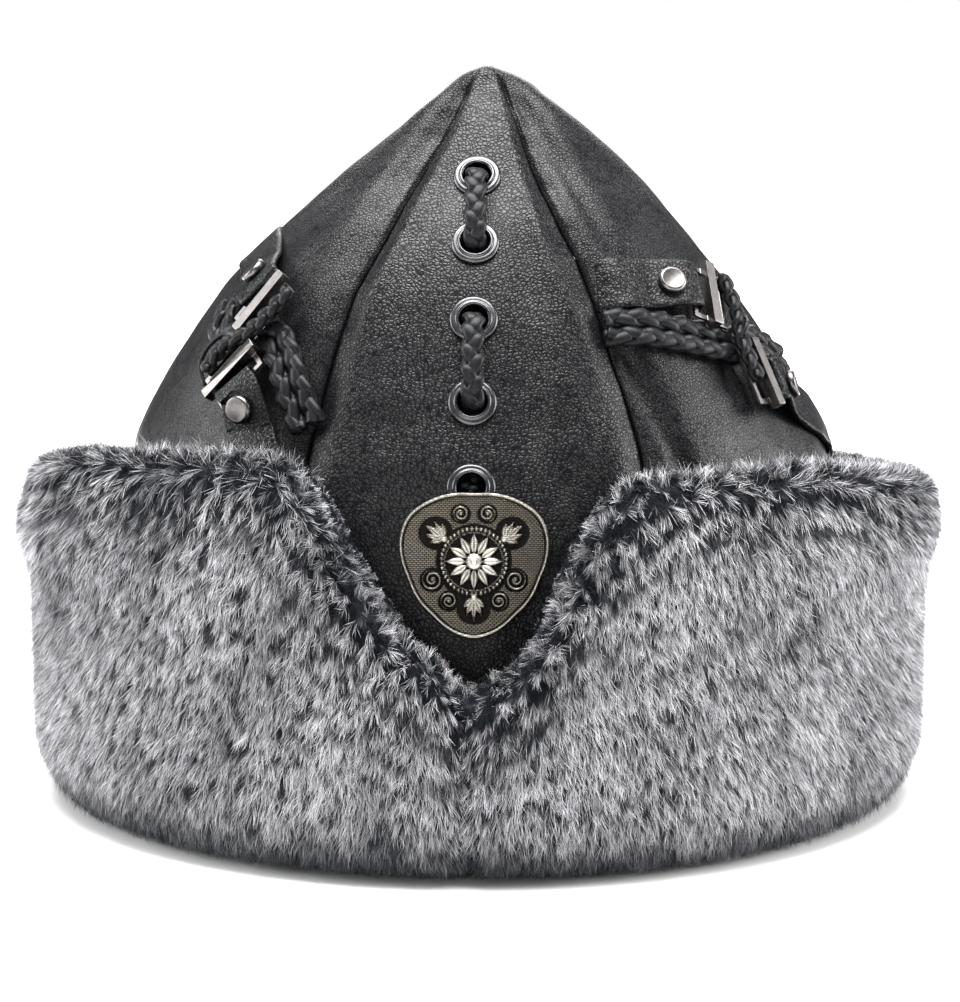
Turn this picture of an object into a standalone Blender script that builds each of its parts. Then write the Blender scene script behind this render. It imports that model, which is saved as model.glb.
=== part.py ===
"""A bork: a pointed crown of six leather gores in a turned-up cuff of deep fur, with a laced front, a metal
badge and a braided ornament on each side.

The front faces -Y, +X is to the right as the front is seen, and the cuff stands on z = 0. Lengths in the
tables are millimetres and become metres in the functions that read them. Angles round the hat are degrees,
0 at the front and growing towards +X.
"""
import math

import bmesh
import bpy
import numpy as np
from mathutils import Matrix, Vector

MM = 0.001

# Driving dimensions, in millimetres
LEATHER = 2.0
SEAM_GAP = 0.45
CLEAR = 0.4
PILE_GAP = 0.4
CROWN_FOOT = 3.6
LEDGE_TOP = 3.0
CUFF_CORNER = 14.0
CUFF_FOOT = 14.7
CUFF_TOP_THICKNESS = 24.0
RIM_ROUNDING = 10.0
LOCK_DEPTH = 2.4
LOCK_STAGGER = 2.5
EYELET_CUT_RADIUS = 4.7
EYELET_CUT_LENGTH = 14.0
LACE_WIDTH = 6.2
LACE_THICKNESS = 3.6
BAND_WIDTH = 10.6
BAND_THICKNESS = 2.8
CORD_WIDTH = 3.0
STRAP_THICKNESS = 1.6
RIVET_RADIUS = 3.8
RIVET_HEIGHT = 2.0
RIVET_EDGE = 0.5
SLIDE_LENGTH = 16.8
SLIDE_WIDTH = 12.4
SLIDE_RAIL = 1.5
SLIDE_PLANE = 3.5
SLIDE_PLATE = 1.0
SLIDE_BAR_LENGTH = 19.8
SLIDE_BAR_WIDTH = 3.0
SLIDE_BAR_FOOT = 0.4
SLIDE_BAR_TOP = 3.6
OVERCUT = 1.0
WELD = 0.01
TURNED_WELD = 0.1
OUTSIDE = 50.0

# Sections along each swept piece, and sides round each round one
LACE_SECTIONS = 46
BAND_SECTIONS = 18
CORD_SECTIONS = 16
STRAP_SECTIONS = 16
SWEEP_SIDES = 8
RIVET_SIDES = 16
EYELET_SIDES = 15
POST_SIDES = 8
BADGE_CURVE_STEPS = 2
DOME_SIDES = 8
DOME_RINGS = 4
SPLINE_STEPS = 24
STRAP_SEARCH = 40
# Points across a strap, as shares of its width
STRAP_SHARES = (-0.5, 0.0, 0.5)

# Search for the place on the crown under a point of an ornament: rounds, step in degrees and in millimetres,
# longest move in a round
SEARCH_ROUNDS = 12
SEARCH_STEP = 0.2
SEARCH_REACH = 8.0

# Crown, puffed out between its seams: height, half width, front reach, back reach, shift towards +X
CROWN = (
    (0.0, 96.5, 103.0, 103.0, 0.0),
    (20.0, 97.0, 103.0, 103.0, 0.0),
    (50.0, 99.5, 102.0, 103.0, 0.0),
    (80.0, 101.5, 97.5, 101.5, 0.0),
    (100.0, 99.5, 91.3, 95.0, -0.3),
    (115.0, 92.0, 85.0, 84.5, -0.5),
    (130.0, 82.0, 78.6, 72.0, -0.9),
    (145.0, 71.3, 71.3, 57.5, -1.0),
    (160.0, 57.6, 62.0, 40.0, 0.7),
    (175.0, 43.0, 50.0, 21.0, 2.6),
    (190.0, 26.0, 39.5, 0.5, 3.9),
    (198.0, 15.6, 33.5, -11.0, 3.5),
    (201.0, 11.5, 31.0, -15.5, 3.2),
    (204.0, 4.5, 28.0, -20.5, 2.8),
    (204.6, 1.2, 25.2, -22.8, 2.8),
)
GORE_ROWS = (CROWN_FOOT, 40, 78, 94, 107, 120, 133, 146, 159, 172, 183, 192, 198.5, 202.6, 204.6)
GORE_COLUMNS = (-1.0, -0.9, -0.74, -0.45, 0.0, 0.45, 0.74, 0.9, 1.0)

# Seams between gores: angle low on the crown, angle at the tip
SEAMS = {
    "front_left": (-26.6, -26.6),
    "front_right": (28.0, 17.0),
    "side_right": (90.0, 90.0),
    "back_right": (155.0, 155.0),
    "back_left": (205.0, 205.0),
    "side_left": (270.0, 270.0),
}
GORES = (
    ("gore_front", "front_left", "front_right"),
    ("gore_front_right", "front_right", "side_right"),
    ("gore_back_right", "side_right", "back_right"),
    ("gore_back", "back_right", "back_left"),
    ("gore_back_left", "back_left", "side_left"),
    ("gore_front_left", "side_left", "front_left"),
)
SEAM_TURN = (146.0, 192.0)
VALLEY_WIDTH = 5.5
# How far what is laid on the leather sinks into its seams and folds, as a share of their depth
LAID_SHARE = 0.85
# Seam valley: height, depth
VALLEY = ((0.0, 0.8), (70.0, 1.4), (110.0, 2.6), (150.0, 2.2), (185.0, 2.6), (197.0, 1.7), (204.6, 0.1))
# Loose folds pressed into the gores: angle and height at each end, depth, half width
FOLDS = (
    (30.5, 131.0, 35.0, 92.0, 2.2, 3.4),
    (-34.0, 196.0, -33.0, 150.0, 1.0, 3.0),
)
# Share of a fold's depth at its ends, and how fast the rest comes along it
FOLD_END = 0.6
FOLD_FADE = 3.0

# Fur cuff, at the tips of its pile: height, half width, front reach, back reach
CUFF = (
    (0.0, 126.5, 133.0, 133.5),
    (58.0, 126.8, 132.6, 134.0),
    (78.0, 131.0, 132.0, 134.0),
    (112.0, 131.5, 130.5, 134.0),
)
# Upper rim of the cuff, with the notch at the front: angle, height
RIM = (
    (-180.0, 90.0),
    (-110.0, 92.0),
    (-80.0, 99.0),
    (-62.0, 105.0),
    (-45.0, 107.5),
    (-27.0, 109.0),
    (-18.0, 105.5),
    (-12.0, 89.0),
    (-6.6, 72.0),
    (-2.6, 59.0),
    (0.2, 50.0),
    (4.6, 58.0),
    (8.4, 70.0),
    (12.2, 88.0),
    (15.0, 98.0),
    (19.0, 103.5),
    (27.0, 104.5),
    (45.0, 104.5),
    (62.0, 100.5),
    (80.0, 95.5),
    (110.0, 92.0),
    (180.0, 90.0),
)
# Heights between which the backing leaves the crown, and its knee as a share of the rim's height
BACKING_LEAVES = (50.0, 95.0)
BACKING_KNEE = 0.45
FRONT_SPAN = 22.0
FRONT_LOCKS = 4
FRONT_COLUMNS = 18
ROUND_LOCKS = 24
ROUND_COLUMNS = 48
OUTER_ROWS = 7
# Turns of the section over the rim and round the lower corner, in degrees
RIM_TURNS = (150, 115, 80, 48, 20)
CORNER_TURNS = (35, 70)

# Front line: heights of the eyelets, from the top
FRONT_LINE = 0.6
EYELET_HEIGHTS = (174.9, 157.7, 138.3, 117.4, 96.2)
# Section of an eyelet: distance from its axis, height over the leather
EYELET_PROFILE = ((3.7, 0.7), (4.6, 1.35), (5.7, 1.1), (6.4, 0.0), (4.3, 0.0), (4.3, -2.7), (3.7, -2.7))
# Lace through a pair of eyelets, outside: share of the way from one to the next, stand-off
LACE_OUTSIDE = (
    (0.0, -3.6),
    (0.0, 0.6),
    (0.08, 3.2),
    (0.24, 4.6),
    (0.5, 4.9),
    (0.76, 4.6),
    (0.92, 3.2),
    (1.0, 0.6),
    (1.0, -3.6),
)
LACE_INSIDE = ((0.12, -5.6), (0.5, -6.0), (0.88, -5.6))
LACE_START = ((-0.75, -5.8), (-0.25, -5.6))
LACE_END = ((0.0, -3.6), (0.0, -0.6))

# Badge: place of its centre, stand-off of its back, and the right half of its outline
BADGE_LINE = 1.6
BADGE_HEIGHT = 76.6
BADGE_OFF = 2.3
BADGE_PLATE = 1.5
BADGE_RIM = 1.0
BADGE_OUTLINE = (
    (0.0, 18.7),
    (9.5, 17.8),
    (17.0, 13.2),
    (19.1, 8.0),
    (17.0, -3.0),
    (10.6, -12.6),
    (5.0, -17.2),
    (0.0, -18.6),
)
RIM_SCALE = 0.955
ROSETTE_PETALS = 12
ROSETTE_RADIUS = 5.6
ROSETTE_UP = 1.5
# Domes of the relief: radius, height, stretch
BOSS = (2.6, 1.5, 1.0)
PETAL = (1.1, 0.9, 1.9)
BUD = (1.9, 1.1, 1.0)
BUD_PLACES = ((-11.5, 9.5), (11.5, 9.5), (0.0, -12.4))
POST_SPREAD = 9.0
POST_RADIUS = 1.5
POST_SUNK = 0.5

# Side ornaments. Each is laid out on the crown round a centre (angle, height). Places are (right, up) as
# seen from outside, in millimetres from that centre, and turns are degrees clockwise from upright.
# Band: right, up. Straps: right, up, width, stand-off. Slides: right, up, turn. Cord: right, up, stand-off.
PANELS = {
    "right": {
        "centre": (61.0, 130.0),
        "band": (
            (-42.4, 13.4),
            (-33.8, 9.5),
            (-24.0, 5.1),
            (-14.0, 1.0),
            (-5.0, -1.2),
            (4.0, -0.8),
            (11.0, -3.0),
            (18.4, -7.4),
        ),
        "upper_strap": (
            (-14.2, 16.0, 13.0, 5.1),
            (-16.2, 16.8, 13.2, 5.1),
            (-17.9, 17.4, 13.5, 4.6),
            (-21.8, 19.0, 14.2, 2.8),
            (-25.8, 20.6, 14.8, 1.0),
            (-29.4, 22.0, 15.0, 0.5),
            (-40.6, 26.4, 15.0, 0.5),
        ),
        "lower_strap": (
            (1.0, -14.2, 12.0, 5.1),
            (2.9, -14.4, 12.2, 5.1),
            (4.4, -14.9, 12.6, 4.7),
            (8.2, -16.5, 13.4, 2.9),
            (12.0, -18.3, 14.0, 1.1),
            (15.6, -19.8, 14.6, 0.5),
            (28.0, -22.8, 15.5, 0.5),
            (40.0, -24.8, 16.0, 0.5),
            (49.3, -26.5, 16.0, 0.5),
        ),
        "upper_rivet": (-21.4, 18.6),
        "lower_rivet": (6.8, -16.0),
        "upper_slide": (-10.6, 12.7, 23.5),
        "lower_slide": (-3.4, -11.8, 2.6),
        "cord": (
            (-3.0, 16.6, 6.4),
            (-3.6, 12.0, 6.5),
            (-4.4, 6.1, 6.5),
            (-6.3, 0.9, 6.1),
            (-7.5, -1.8, 6.4),
            (-8.2, -5.6, 6.5),
            (-8.4, -13.0, 6.4),
        ),
    },
    "left": {
        "centre": (-47.0, 133.0),
        "band": (
            (28.3, -22.4),
            (25.6, -18.7),
            (20.4, -11.9),
            (15.2, -5.2),
            (9.6, -1.0),
            (2.5, -1.8),
            (-4.0, -3.4),
            (-9.8, -2.4),
            (-12.9, 2.4),
            (-13.0, 8.6),
        ),
        "upper_strap": (
            (2.3, 11.2, 13.0, 5.1),
            (0.6, 12.2, 13.2, 5.1),
            (-0.7, 13.2, 13.5, 4.7),
            (-3.8, 15.8, 13.9, 2.9),
            (-6.9, 18.5, 14.2, 1.1),
            (-9.6, 20.9, 14.5, 0.5),
            (-15.5, 25.4, 15.0, 0.5),
            (-24.0, 30.0, 15.0, 0.5),
            (-32.6, 34.5, 15.0, 0.5),
        ),
        "lower_strap": (
            (5.7, -15.8, 12.0, 5.4),
            (7.3, -17.0, 12.0, 5.6),
            (8.8, -18.2, 12.4, 5.3),
            (10.4, -22.0, 13.6, 3.2),
            (11.9, -25.8, 14.3, 1.2),
            (13.4, -28.9, 14.7, 0.5),
            (19.5, -38.0, 15.0, 0.5),
        ),
        "upper_rivet": (-3.0, 15.4),
        "lower_rivet": (10.0, -22.5),
        "upper_slide": (4.9, 6.9, 28.6),
        "lower_slide": (2.95, -12.6, 36.4),
        "cord": (
            (13.6, 10.6, 6.4),
            (12.9, 9.0, 6.5),
            (10.1, 4.1, 6.5),
            (7.6, 0.3, 6.5),
            (3.8, -3.3, 6.6),
            (-2.0, -6.7, 6.6),
            (-4.3, -11.0, 6.4),
            (-5.3, -14.0, 6.4),
        ),
    },
}

# Materials: base colour, roughness, metallic
FINISHES = {
    "leather": ((0.022, 0.023, 0.026), 0.45, 0.0),
    "fur": ((0.33, 0.35, 0.38), 0.95, 0.0),
    "cord": ((0.016, 0.017, 0.019), 0.5, 0.0),
    "gunmetal": ((0.16, 0.16, 0.17), 0.3, 1.0),
    "nickel": ((0.62, 0.60, 0.58), 0.2, 1.0),
    "pewter": ((0.42, 0.42, 0.40), 0.35, 1.0),
}


def clear_scene():
    for item in list(bpy.data.objects):
        bpy.data.objects.remove(item, do_unlink=True)


def make_collection(name, hidden=False):
    collection = bpy.data.collections.new(name)
    bpy.context.scene.collection.children.link(collection)
    collection.hide_render = hidden
    return collection


def make_material(name):
    colour, roughness, metallic = FINISHES[name]
    material = bpy.data.materials.new(name)
    material.use_nodes = True
    shader = material.node_tree.nodes["Principled BSDF"]
    shader.inputs["Base Color"].default_value = (*colour, 1.0)
    shader.inputs["Roughness"].default_value = roughness
    shader.inputs["Metallic"].default_value = metallic
    material.diffuse_color = (*colour, 1.0)
    return material


def add_object(name, data, collection, material=None, matrix=None):
    item = bpy.data.objects.new(name, data)
    collection.objects.link(item)
    if material:
        item.data.materials.append(material)
    if matrix:
        item.matrix_world = matrix
    return item


def read_table(rows):
    """A function that reads the table at any value of its first column, by monotone cubic curves."""
    table = np.array(rows, float)
    places, values = table[:, 0], table[:, 1:]
    steps = np.diff(places)
    rises = np.diff(values, axis=0) / steps[:, None]
    slopes = np.zeros_like(values)
    for i in range(1, len(places) - 1):
        before, after = rises[i - 1], rises[i]
        weight_a = 2 * steps[i] + steps[i - 1]
        weight_b = steps[i] + 2 * steps[i - 1]
        same_way = before * after > 0
        safe_before = np.where(same_way, before, 1.0)
        safe_after = np.where(same_way, after, 1.0)
        mean = (weight_a + weight_b) / (weight_a / safe_before + weight_b / safe_after)
        slopes[i] = np.where(same_way, mean, 0.0)
    slopes[0], slopes[-1] = rises[0], rises[-1]

    def read(place):
        place = min(max(place, places[0]), places[-1])
        i = min(int(np.searchsorted(places, place, side="right")) - 1, len(steps) - 1)
        t = (place - places[i]) / steps[i]
        start = (1 + 2 * t) * (1 - t) ** 2 * values[i] + t * (1 - t) ** 2 * steps[i] * slopes[i]
        end = t * t * (3 - 2 * t) * values[i + 1] - t * t * (1 - t) * steps[i] * slopes[i + 1]
        return start + end

    return read


read_crown = read_table(CROWN)
read_valley = read_table(VALLEY)
read_cuff = read_table(CUFF)
read_rim = read_table(RIM)


def smooth(value):
    value = min(max(value, 0.0), 1.0)
    return value * value * (3 - 2 * value)


def oval(angle, height, half_width, front, back, shift=0.0):
    """A point on a level oval that is centred between its front and its back. Millimetres."""
    turn = math.radians(angle)
    middle = (back - front) / 2
    depth = (back + front) / 2
    return np.array((shift + half_width * math.sin(turn), middle - depth * math.cos(turn), height))


def crown_point(angle, height):
    half_width, front, back, shift = read_crown(height)
    return oval(angle, height, half_width, front, back, shift)


def crown_axes(angle, height):
    """Unit vectors along the crown: onwards round it, up its slope, and straight out."""
    step = 0.25
    onwards = crown_point(angle + step, height) - crown_point(angle - step, height)
    upwards = crown_point(angle, height + step) - crown_point(angle, height - step)
    out = np.cross(onwards, upwards)
    onwards /= np.linalg.norm(onwards)
    out /= np.linalg.norm(out)
    return onwards, np.cross(out, onwards), out


def on_crown(angle, height, off=0.0):
    return crown_point(angle, height) + crown_axes(angle, height)[2] * off


def frame_at(angle, height, off, turn=0.0):
    """A matrix in metres whose x runs onwards, y up the slope and z out, turned clockwise seen from outside."""
    axes = crown_axes(angle, height)
    place = Vector(on_crown(angle, height, off) * MM)
    basis = Matrix([list(axis) for axis in axes]).transposed().to_4x4()
    return Matrix.Translation(place) @ basis @ Matrix.Rotation(-math.radians(turn), 4, "Z")


def seam_angle(seam, height):
    low, tip = SEAMS[seam]
    return low + (tip - low) * smooth((height - SEAM_TURN[0]) / (SEAM_TURN[1] - SEAM_TURN[0]))


def arc_per_degree(angle, height):
    return float(np.linalg.norm(crown_point(angle + 0.5, height) - crown_point(angle - 0.5, height)))


def wrapped(angle):
    return (angle + 180.0) % 360.0 - 180.0


def relief(angle, height):
    """How far the leather lies inside the puffed form, in its seams and folds. Millimetres, never outwards."""
    per_degree = arc_per_degree(angle, height)
    depth = 0.0
    for seam in SEAMS:
        away = wrapped(angle - seam_angle(seam, height)) * per_degree
        depth += float(read_valley(height)[0]) * math.exp(-((away / VALLEY_WIDTH) ** 2))
    for top_angle, top, low_angle, low, fold_depth, half_width in FOLDS:
        share = (top - height) / (top - low)
        middle = top_angle + (low_angle - top_angle) * share
        away = wrapped(angle - middle) * per_degree
        fade = smooth(share * FOLD_FADE + FOLD_END) * smooth((1 - share) * FOLD_FADE + FOLD_END)
        depth += fold_depth * fade * math.exp(-((away / half_width) ** 2))
    return -depth


def grid_mesh(name, grid):
    """An open surface through rows of points in millimetres."""
    mesh = bpy.data.meshes.new(name)
    columns = len(grid[0])
    points = [tuple(np.asarray(point) * MM) for row in grid for point in row]
    faces = []
    for r in range(len(grid) - 1):
        for c in range(columns - 1):
            corner = r * columns + c
            faces.append((corner, corner + 1, corner + columns + 1, corner + columns))
    mesh.from_pydata(points, [], faces)
    mesh.shade_smooth()
    return mesh


def loft_mesh(name, rings, closed=False):
    """A solid through rings of points in millimetres: capped at its ends, or closed into a hoop."""
    shape = bmesh.new()
    rows = [[shape.verts.new(tuple(np.asarray(point) * MM)) for point in ring] for ring in rings]
    sides = len(rings[0])
    pairs = list(zip(rows, rows[1:] + rows[:1])) if closed else list(zip(rows, rows[1:]))
    for row, following in pairs:
        for k in range(sides):
            nxt = (k + 1) % sides
            shape.faces.new((row[k], row[nxt], following[nxt], following[k]))
    if not closed:
        shape.faces.new(rows[0])
        shape.faces.new(list(reversed(rows[-1])))
    bmesh.ops.recalc_face_normals(shape, faces=shape.faces)
    mesh = bpy.data.meshes.new(name)
    shape.to_mesh(mesh)
    shape.free()
    mesh.shade_smooth()
    return mesh


def spline(points, count):
    """Points evenly spaced along a smooth curve through hand-placed points of any dimension."""
    points = np.array(points, float)
    padded = np.vstack([2 * points[0] - points[1], points, 2 * points[-1] - points[-2]])
    fine = []
    for i in range(len(points) - 1):
        a, b, c, d = padded[i : i + 4]
        for t in np.linspace(0, 1, SPLINE_STEPS, endpoint=False):
            bend = (2 * a - 5 * b + 4 * c - d) * t * t + (3 * b - a - 3 * c + d) * t**3
            fine.append(0.5 * (2 * b + (c - a) * t + bend))
    fine = np.array(fine + [points[-1]])
    lengths = np.concatenate([[0], np.cumsum(np.linalg.norm(np.diff(fine[:, :2], axis=0), axis=1))])
    wanted = np.linspace(0, lengths[-1], count)
    return np.stack([np.interp(wanted, lengths, fine[:, k]) for k in range(fine.shape[1])], 1)


def oval_sweep(name, path, outs, width, thickness, sides=SWEEP_SIDES):
    """A bar of oval section along a path. Its width lies across the path and across the given directions."""
    rings = []
    for i, point in enumerate(path):
        along = path[min(i + 1, len(path) - 1)] - path[max(i - 1, 0)]
        along /= np.linalg.norm(along)
        across = np.cross(along, outs[i])
        across /= np.linalg.norm(across)
        up = np.cross(across, along)
        turns = [2 * math.pi * (k + 0.5) / sides for k in range(sides)]
        side, rise = across * width / 2, up * thickness / 2
        rings.append([point + side * math.cos(t) + rise * math.sin(t) for t in turns])
    return loft_mesh(name, rings)


def panel_place(centre, right, up):
    """The angle and height on the crown of a place given in the flat plane of a side ornament."""
    angle, height = centre
    middle = crown_point(angle, height)
    onwards, upwards, _ = crown_axes(angle, height)
    for _ in range(SEARCH_ROUNDS):
        here = crown_point(angle, height)
        offset = here - middle
        miss = np.array((right - offset @ onwards, up - offset @ upwards))
        by_angle = (crown_point(angle + SEARCH_STEP, height) - here) / SEARCH_STEP
        by_height = (crown_point(angle, height + SEARCH_STEP) - here) / SEARCH_STEP
        lean = np.array(((by_angle @ onwards, by_height @ onwards), (by_angle @ upwards, by_height @ upwards)))
        change = np.linalg.solve(lean, miss)
        change = np.clip(change, -SEARCH_REACH, SEARCH_REACH)
        angle += float(change[0])
        height += float(change[1])
    return angle, height


def make_gore(name, seam_before, seam_after, parts, material):
    grid = []
    for height in GORE_ROWS:
        start, end = seam_angle(seam_before, height), seam_angle(seam_after, height)
        if end < start:
            end += 360.0
        start += SEAM_GAP / 2 / arc_per_degree(start, height)
        end -= SEAM_GAP / 2 / arc_per_degree(end, height)
        row = []
        for column in GORE_COLUMNS:
            angle = (start + end) / 2 + column * (end - start) / 2
            row.append(on_crown(angle, height, relief(angle, height)))
        grid.append(row)
    gore = add_object(name, grid_mesh(name, grid), parts, material)
    wall = gore.modifiers.new("leather", "SOLIDIFY")
    wall.thickness = LEATHER * MM
    wall.offset = -1.0
    return gore


def make_cuff(parts, material):
    """The fur band: a hoop of lofted sections whose outer face is broken into staggered locks."""
    front = np.linspace(-FRONT_SPAN, FRONT_SPAN, FRONT_COLUMNS + 1)
    rest = np.linspace(FRONT_SPAN, 360.0 - FRONT_SPAN, ROUND_COLUMNS + 1)[1:-1]
    rings = [cuff_section(angle) for angle in list(front) + list(rest)]
    return add_object("fur_cuff", loft_mesh("fur_cuff", rings, closed=True), parts, material)


def lock_groove(angle, row):
    """0 on the ridge of a lock and 1 in the groove between two. Every second pair of rows is staggered."""
    if angle <= FRONT_SPAN:
        place = (angle + FRONT_SPAN) / (2 * FRONT_SPAN) * FRONT_LOCKS
    else:
        place = (angle - FRONT_SPAN) / (360.0 - 2 * FRONT_SPAN) * ROUND_LOCKS
    return 0.5 + 0.5 * math.cos(2 * math.pi * (place + 0.5 * (row // 2 % 2)))


def cuff_outer(angle, height):
    half_width, front, back = read_cuff(height)
    return oval(angle, height, half_width, front, back)


def cuff_inner(angle, height):
    """The backing: it follows the crown low down and stands off it higher up."""
    half_width, front, back, _ = read_crown(height)
    hugging = oval(angle, height, half_width + PILE_GAP, front + PILE_GAP, back + PILE_GAP)
    outer_width, outer_front, outer_back = read_cuff(height) - CUFF_TOP_THICKNESS
    standing = oval(angle, height, outer_width, outer_front, outer_back)
    low, high = BACKING_LEAVES
    share = smooth((height - low) / (high - low))
    return hugging * (1 - share) + standing * share


def cuff_section(angle):
    """One section of the band, from its foot up the backing, over the rim and down the locks."""
    rim = float(read_rim(wrapped(angle))[0])
    inner_foot = oval(angle, 0.0, *(read_crown(0.0)[:3] - LEATHER))
    ledge = inner_foot + (0, 0, LEDGE_TOP)
    points = [inner_foot, ledge, cuff_inner(angle, LEDGE_TOP), cuff_inner(angle, rim * BACKING_KNEE)]
    round_start = rim - RIM_ROUNDING
    inner_top = cuff_inner(angle, round_start)
    outer_top = cuff_outer(angle, round_start)
    outwards = (outer_top - inner_top) / np.linalg.norm(outer_top - inner_top)
    points.append(inner_top)
    for turn in RIM_TURNS:
        t = math.radians(turn)
        middle, reach = (inner_top + outer_top) / 2, (outer_top - inner_top) / 2
        point = middle + reach * math.cos(t)
        point[2] = round_start + (rim - round_start) * math.sin(t)
        if turn < 90:
            point[2] -= LOCK_DEPTH / 2 * lock_groove(angle, 0)
        points.append(point)
    for row in range(OUTER_ROWS):
        height = round_start + (CUFF_CORNER - round_start) * row / (OUTER_ROWS - 1)
        groove = lock_groove(angle, row)
        point = cuff_outer(angle, height) - outwards * LOCK_DEPTH * groove
        if 0 < row < OUTER_ROWS - 1:
            point[2] -= LOCK_STAGGER * (1 - 2 * groove)
        points.append(point)
    for turn in CORNER_TURNS:
        t = math.radians(turn)
        point = cuff_outer(angle, 0.0) - outwards * CUFF_CORNER * (1 - math.cos(t))
        point[2] = CUFF_CORNER * (1 - math.sin(t))
        points.append(point)
    foot = cuff_outer(angle, 0.0) - outwards * CUFF_FOOT
    foot[2] = 0.0
    points.append(foot)
    return points


def make_eyelets(front_gore, parts, cutters, material):
    """Ring eyelets, each a turned profile, and the holes that they sit in."""
    for number, height in enumerate(EYELET_HEIGHTS, 1):
        angle = front_angle(height)
        place = frame_at(angle, height, CLEAR)
        mesh = bpy.data.meshes.new("eyelet")
        profile = [(x * MM, 0, z * MM) for x, z in EYELET_PROFILE]
        edges = [(k, (k + 1) % len(profile)) for k in range(len(profile))]
        mesh.from_pydata(profile, edges, [])
        eyelet = add_object(f"eyelet_{number}", mesh, parts, material, place)
        turn = eyelet.modifiers.new("turned", "SCREW")
        turn.steps = turn.render_steps = EYELET_SIDES
        turn.use_smooth_shade = True
        turn.merge_threshold = TURNED_WELD * MM
        hole = f"eyelet_hole_{number}"
        cutter = cylinder(hole, EYELET_CUT_RADIUS, EYELET_CUT_LENGTH, EYELET_SIDES, cutters)
        cutter.matrix_world = place
        cutter.display_type = "WIRE"
        cutter.hide_render = True
        cut = front_gore.modifiers.new(f"hole_{number}", "BOOLEAN")
        cut.operation = "DIFFERENCE"
        cut.object = cutter


def cylinder(name, radius, length, sides, collection, material=None):
    shape = bmesh.new()
    bmesh.ops.create_cone(
        shape, cap_ends=True, segments=sides, radius1=radius * MM, radius2=radius * MM, depth=length * MM
    )
    mesh = bpy.data.meshes.new(name)
    shape.to_mesh(mesh)
    shape.free()
    return add_object(name, mesh, collection, material)


def front_angle(height, x=FRONT_LINE):
    """The angle round the crown, at a height, of a point at x on its front."""
    half_width, _, _, shift = read_crown(height)
    return math.degrees(math.asin((x - shift) / half_width))


def make_lace(parts, material):
    """One flat lace, woven out and in through the eyelets from the top, up to the back of the badge."""
    rungs = []
    first = EYELET_HEIGHTS[0] + (EYELET_HEIGHTS[0] - EYELET_HEIGHTS[1])
    heights = (first,) + EYELET_HEIGHTS

    def add(between, shares):
        top, low = heights[between], heights[between + 1]
        for share, off in shares:
            rungs.append((top + (low - top) * share, off))

    add(0, [(1 + share, off) for share, off in LACE_START])
    for pair in (1, 3):
        add(pair, LACE_OUTSIDE)
        add(pair + 1, LACE_INSIDE)
    add(4, [(1 + share, off) for share, off in LACE_END])
    path = spline(rungs, LACE_SECTIONS)
    points, outs = [], []
    for height, off in path:
        points.append(on_crown(front_angle(height), height, off))
    for i in range(len(points)):
        along = points[min(i + 1, len(points) - 1)] - points[max(i - 1, 0)]
        outs.append(np.cross((1.0, 0.0, 0.0), along))
    mesh = oval_sweep("front_lace", points, outs, LACE_WIDTH, LACE_THICKNESS)
    return add_object("front_lace", mesh, parts, material)


def badge_points():
    """The badge's outline, from the top round by the right side."""
    right = list(BADGE_OUTLINE)
    return right + [(-x, y) for x, y in reversed(right[1:-1])]


def outline_curve(name, extrude, bevel, fill):
    curve = bpy.data.curves.new(name, "CURVE")
    curve.dimensions = "2D" if fill else "3D"
    curve.fill_mode = "BOTH" if fill else "FULL"
    curve.resolution_u = BADGE_CURVE_STEPS
    curve.extrude = extrude * MM
    curve.bevel_depth = bevel * MM
    curve.bevel_resolution = 1
    line = curve.splines.new("BEZIER")
    points = badge_points()
    line.bezier_points.add(len(points) - 1)
    for knot, (x, y) in zip(line.bezier_points, points):
        knot.co = (x * MM, y * MM, 0)
        knot.handle_left_type = knot.handle_right_type = "AUTO"
    line.use_cyclic_u = True
    return curve


def mesh_of(item, name):
    """Turns a curve object into a welded mesh in the same place, and removes the curve."""
    graph = bpy.context.evaluated_depsgraph_get()
    mesh = bpy.data.meshes.new_from_object(item.evaluated_get(graph))
    mesh.name = name
    shape = bmesh.new()
    shape.from_mesh(mesh)
    bmesh.ops.remove_doubles(shape, verts=shape.verts, dist=WELD * MM)
    bmesh.ops.recalc_face_normals(shape, faces=shape.faces)
    shape.to_mesh(mesh)
    shape.free()
    bpy.data.objects.remove(item, do_unlink=True)
    return mesh


def join(target, other):
    other.hide_render = True
    other.display_type = "WIRE"
    union = target.modifiers.new(other.name, "BOOLEAN")
    union.operation = "UNION"
    union.object = other


def small_dome(name, size, place, cutters, turn=0.0):
    radius, height, stretch = size
    shape = bmesh.new()
    bmesh.ops.create_uvsphere(shape, u_segments=DOME_SIDES, v_segments=DOME_RINGS, radius=MM)
    scale = Matrix.Diagonal((radius * stretch, radius, height, 1.0))
    move = Matrix.Translation(Vector(place) * MM) @ Matrix.Rotation(turn, 4, "Z")
    bmesh.ops.transform(shape, matrix=move @ scale, verts=shape.verts)
    mesh = bpy.data.meshes.new(name)
    shape.to_mesh(mesh)
    shape.free()
    return add_object(name, mesh, cutters)


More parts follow.
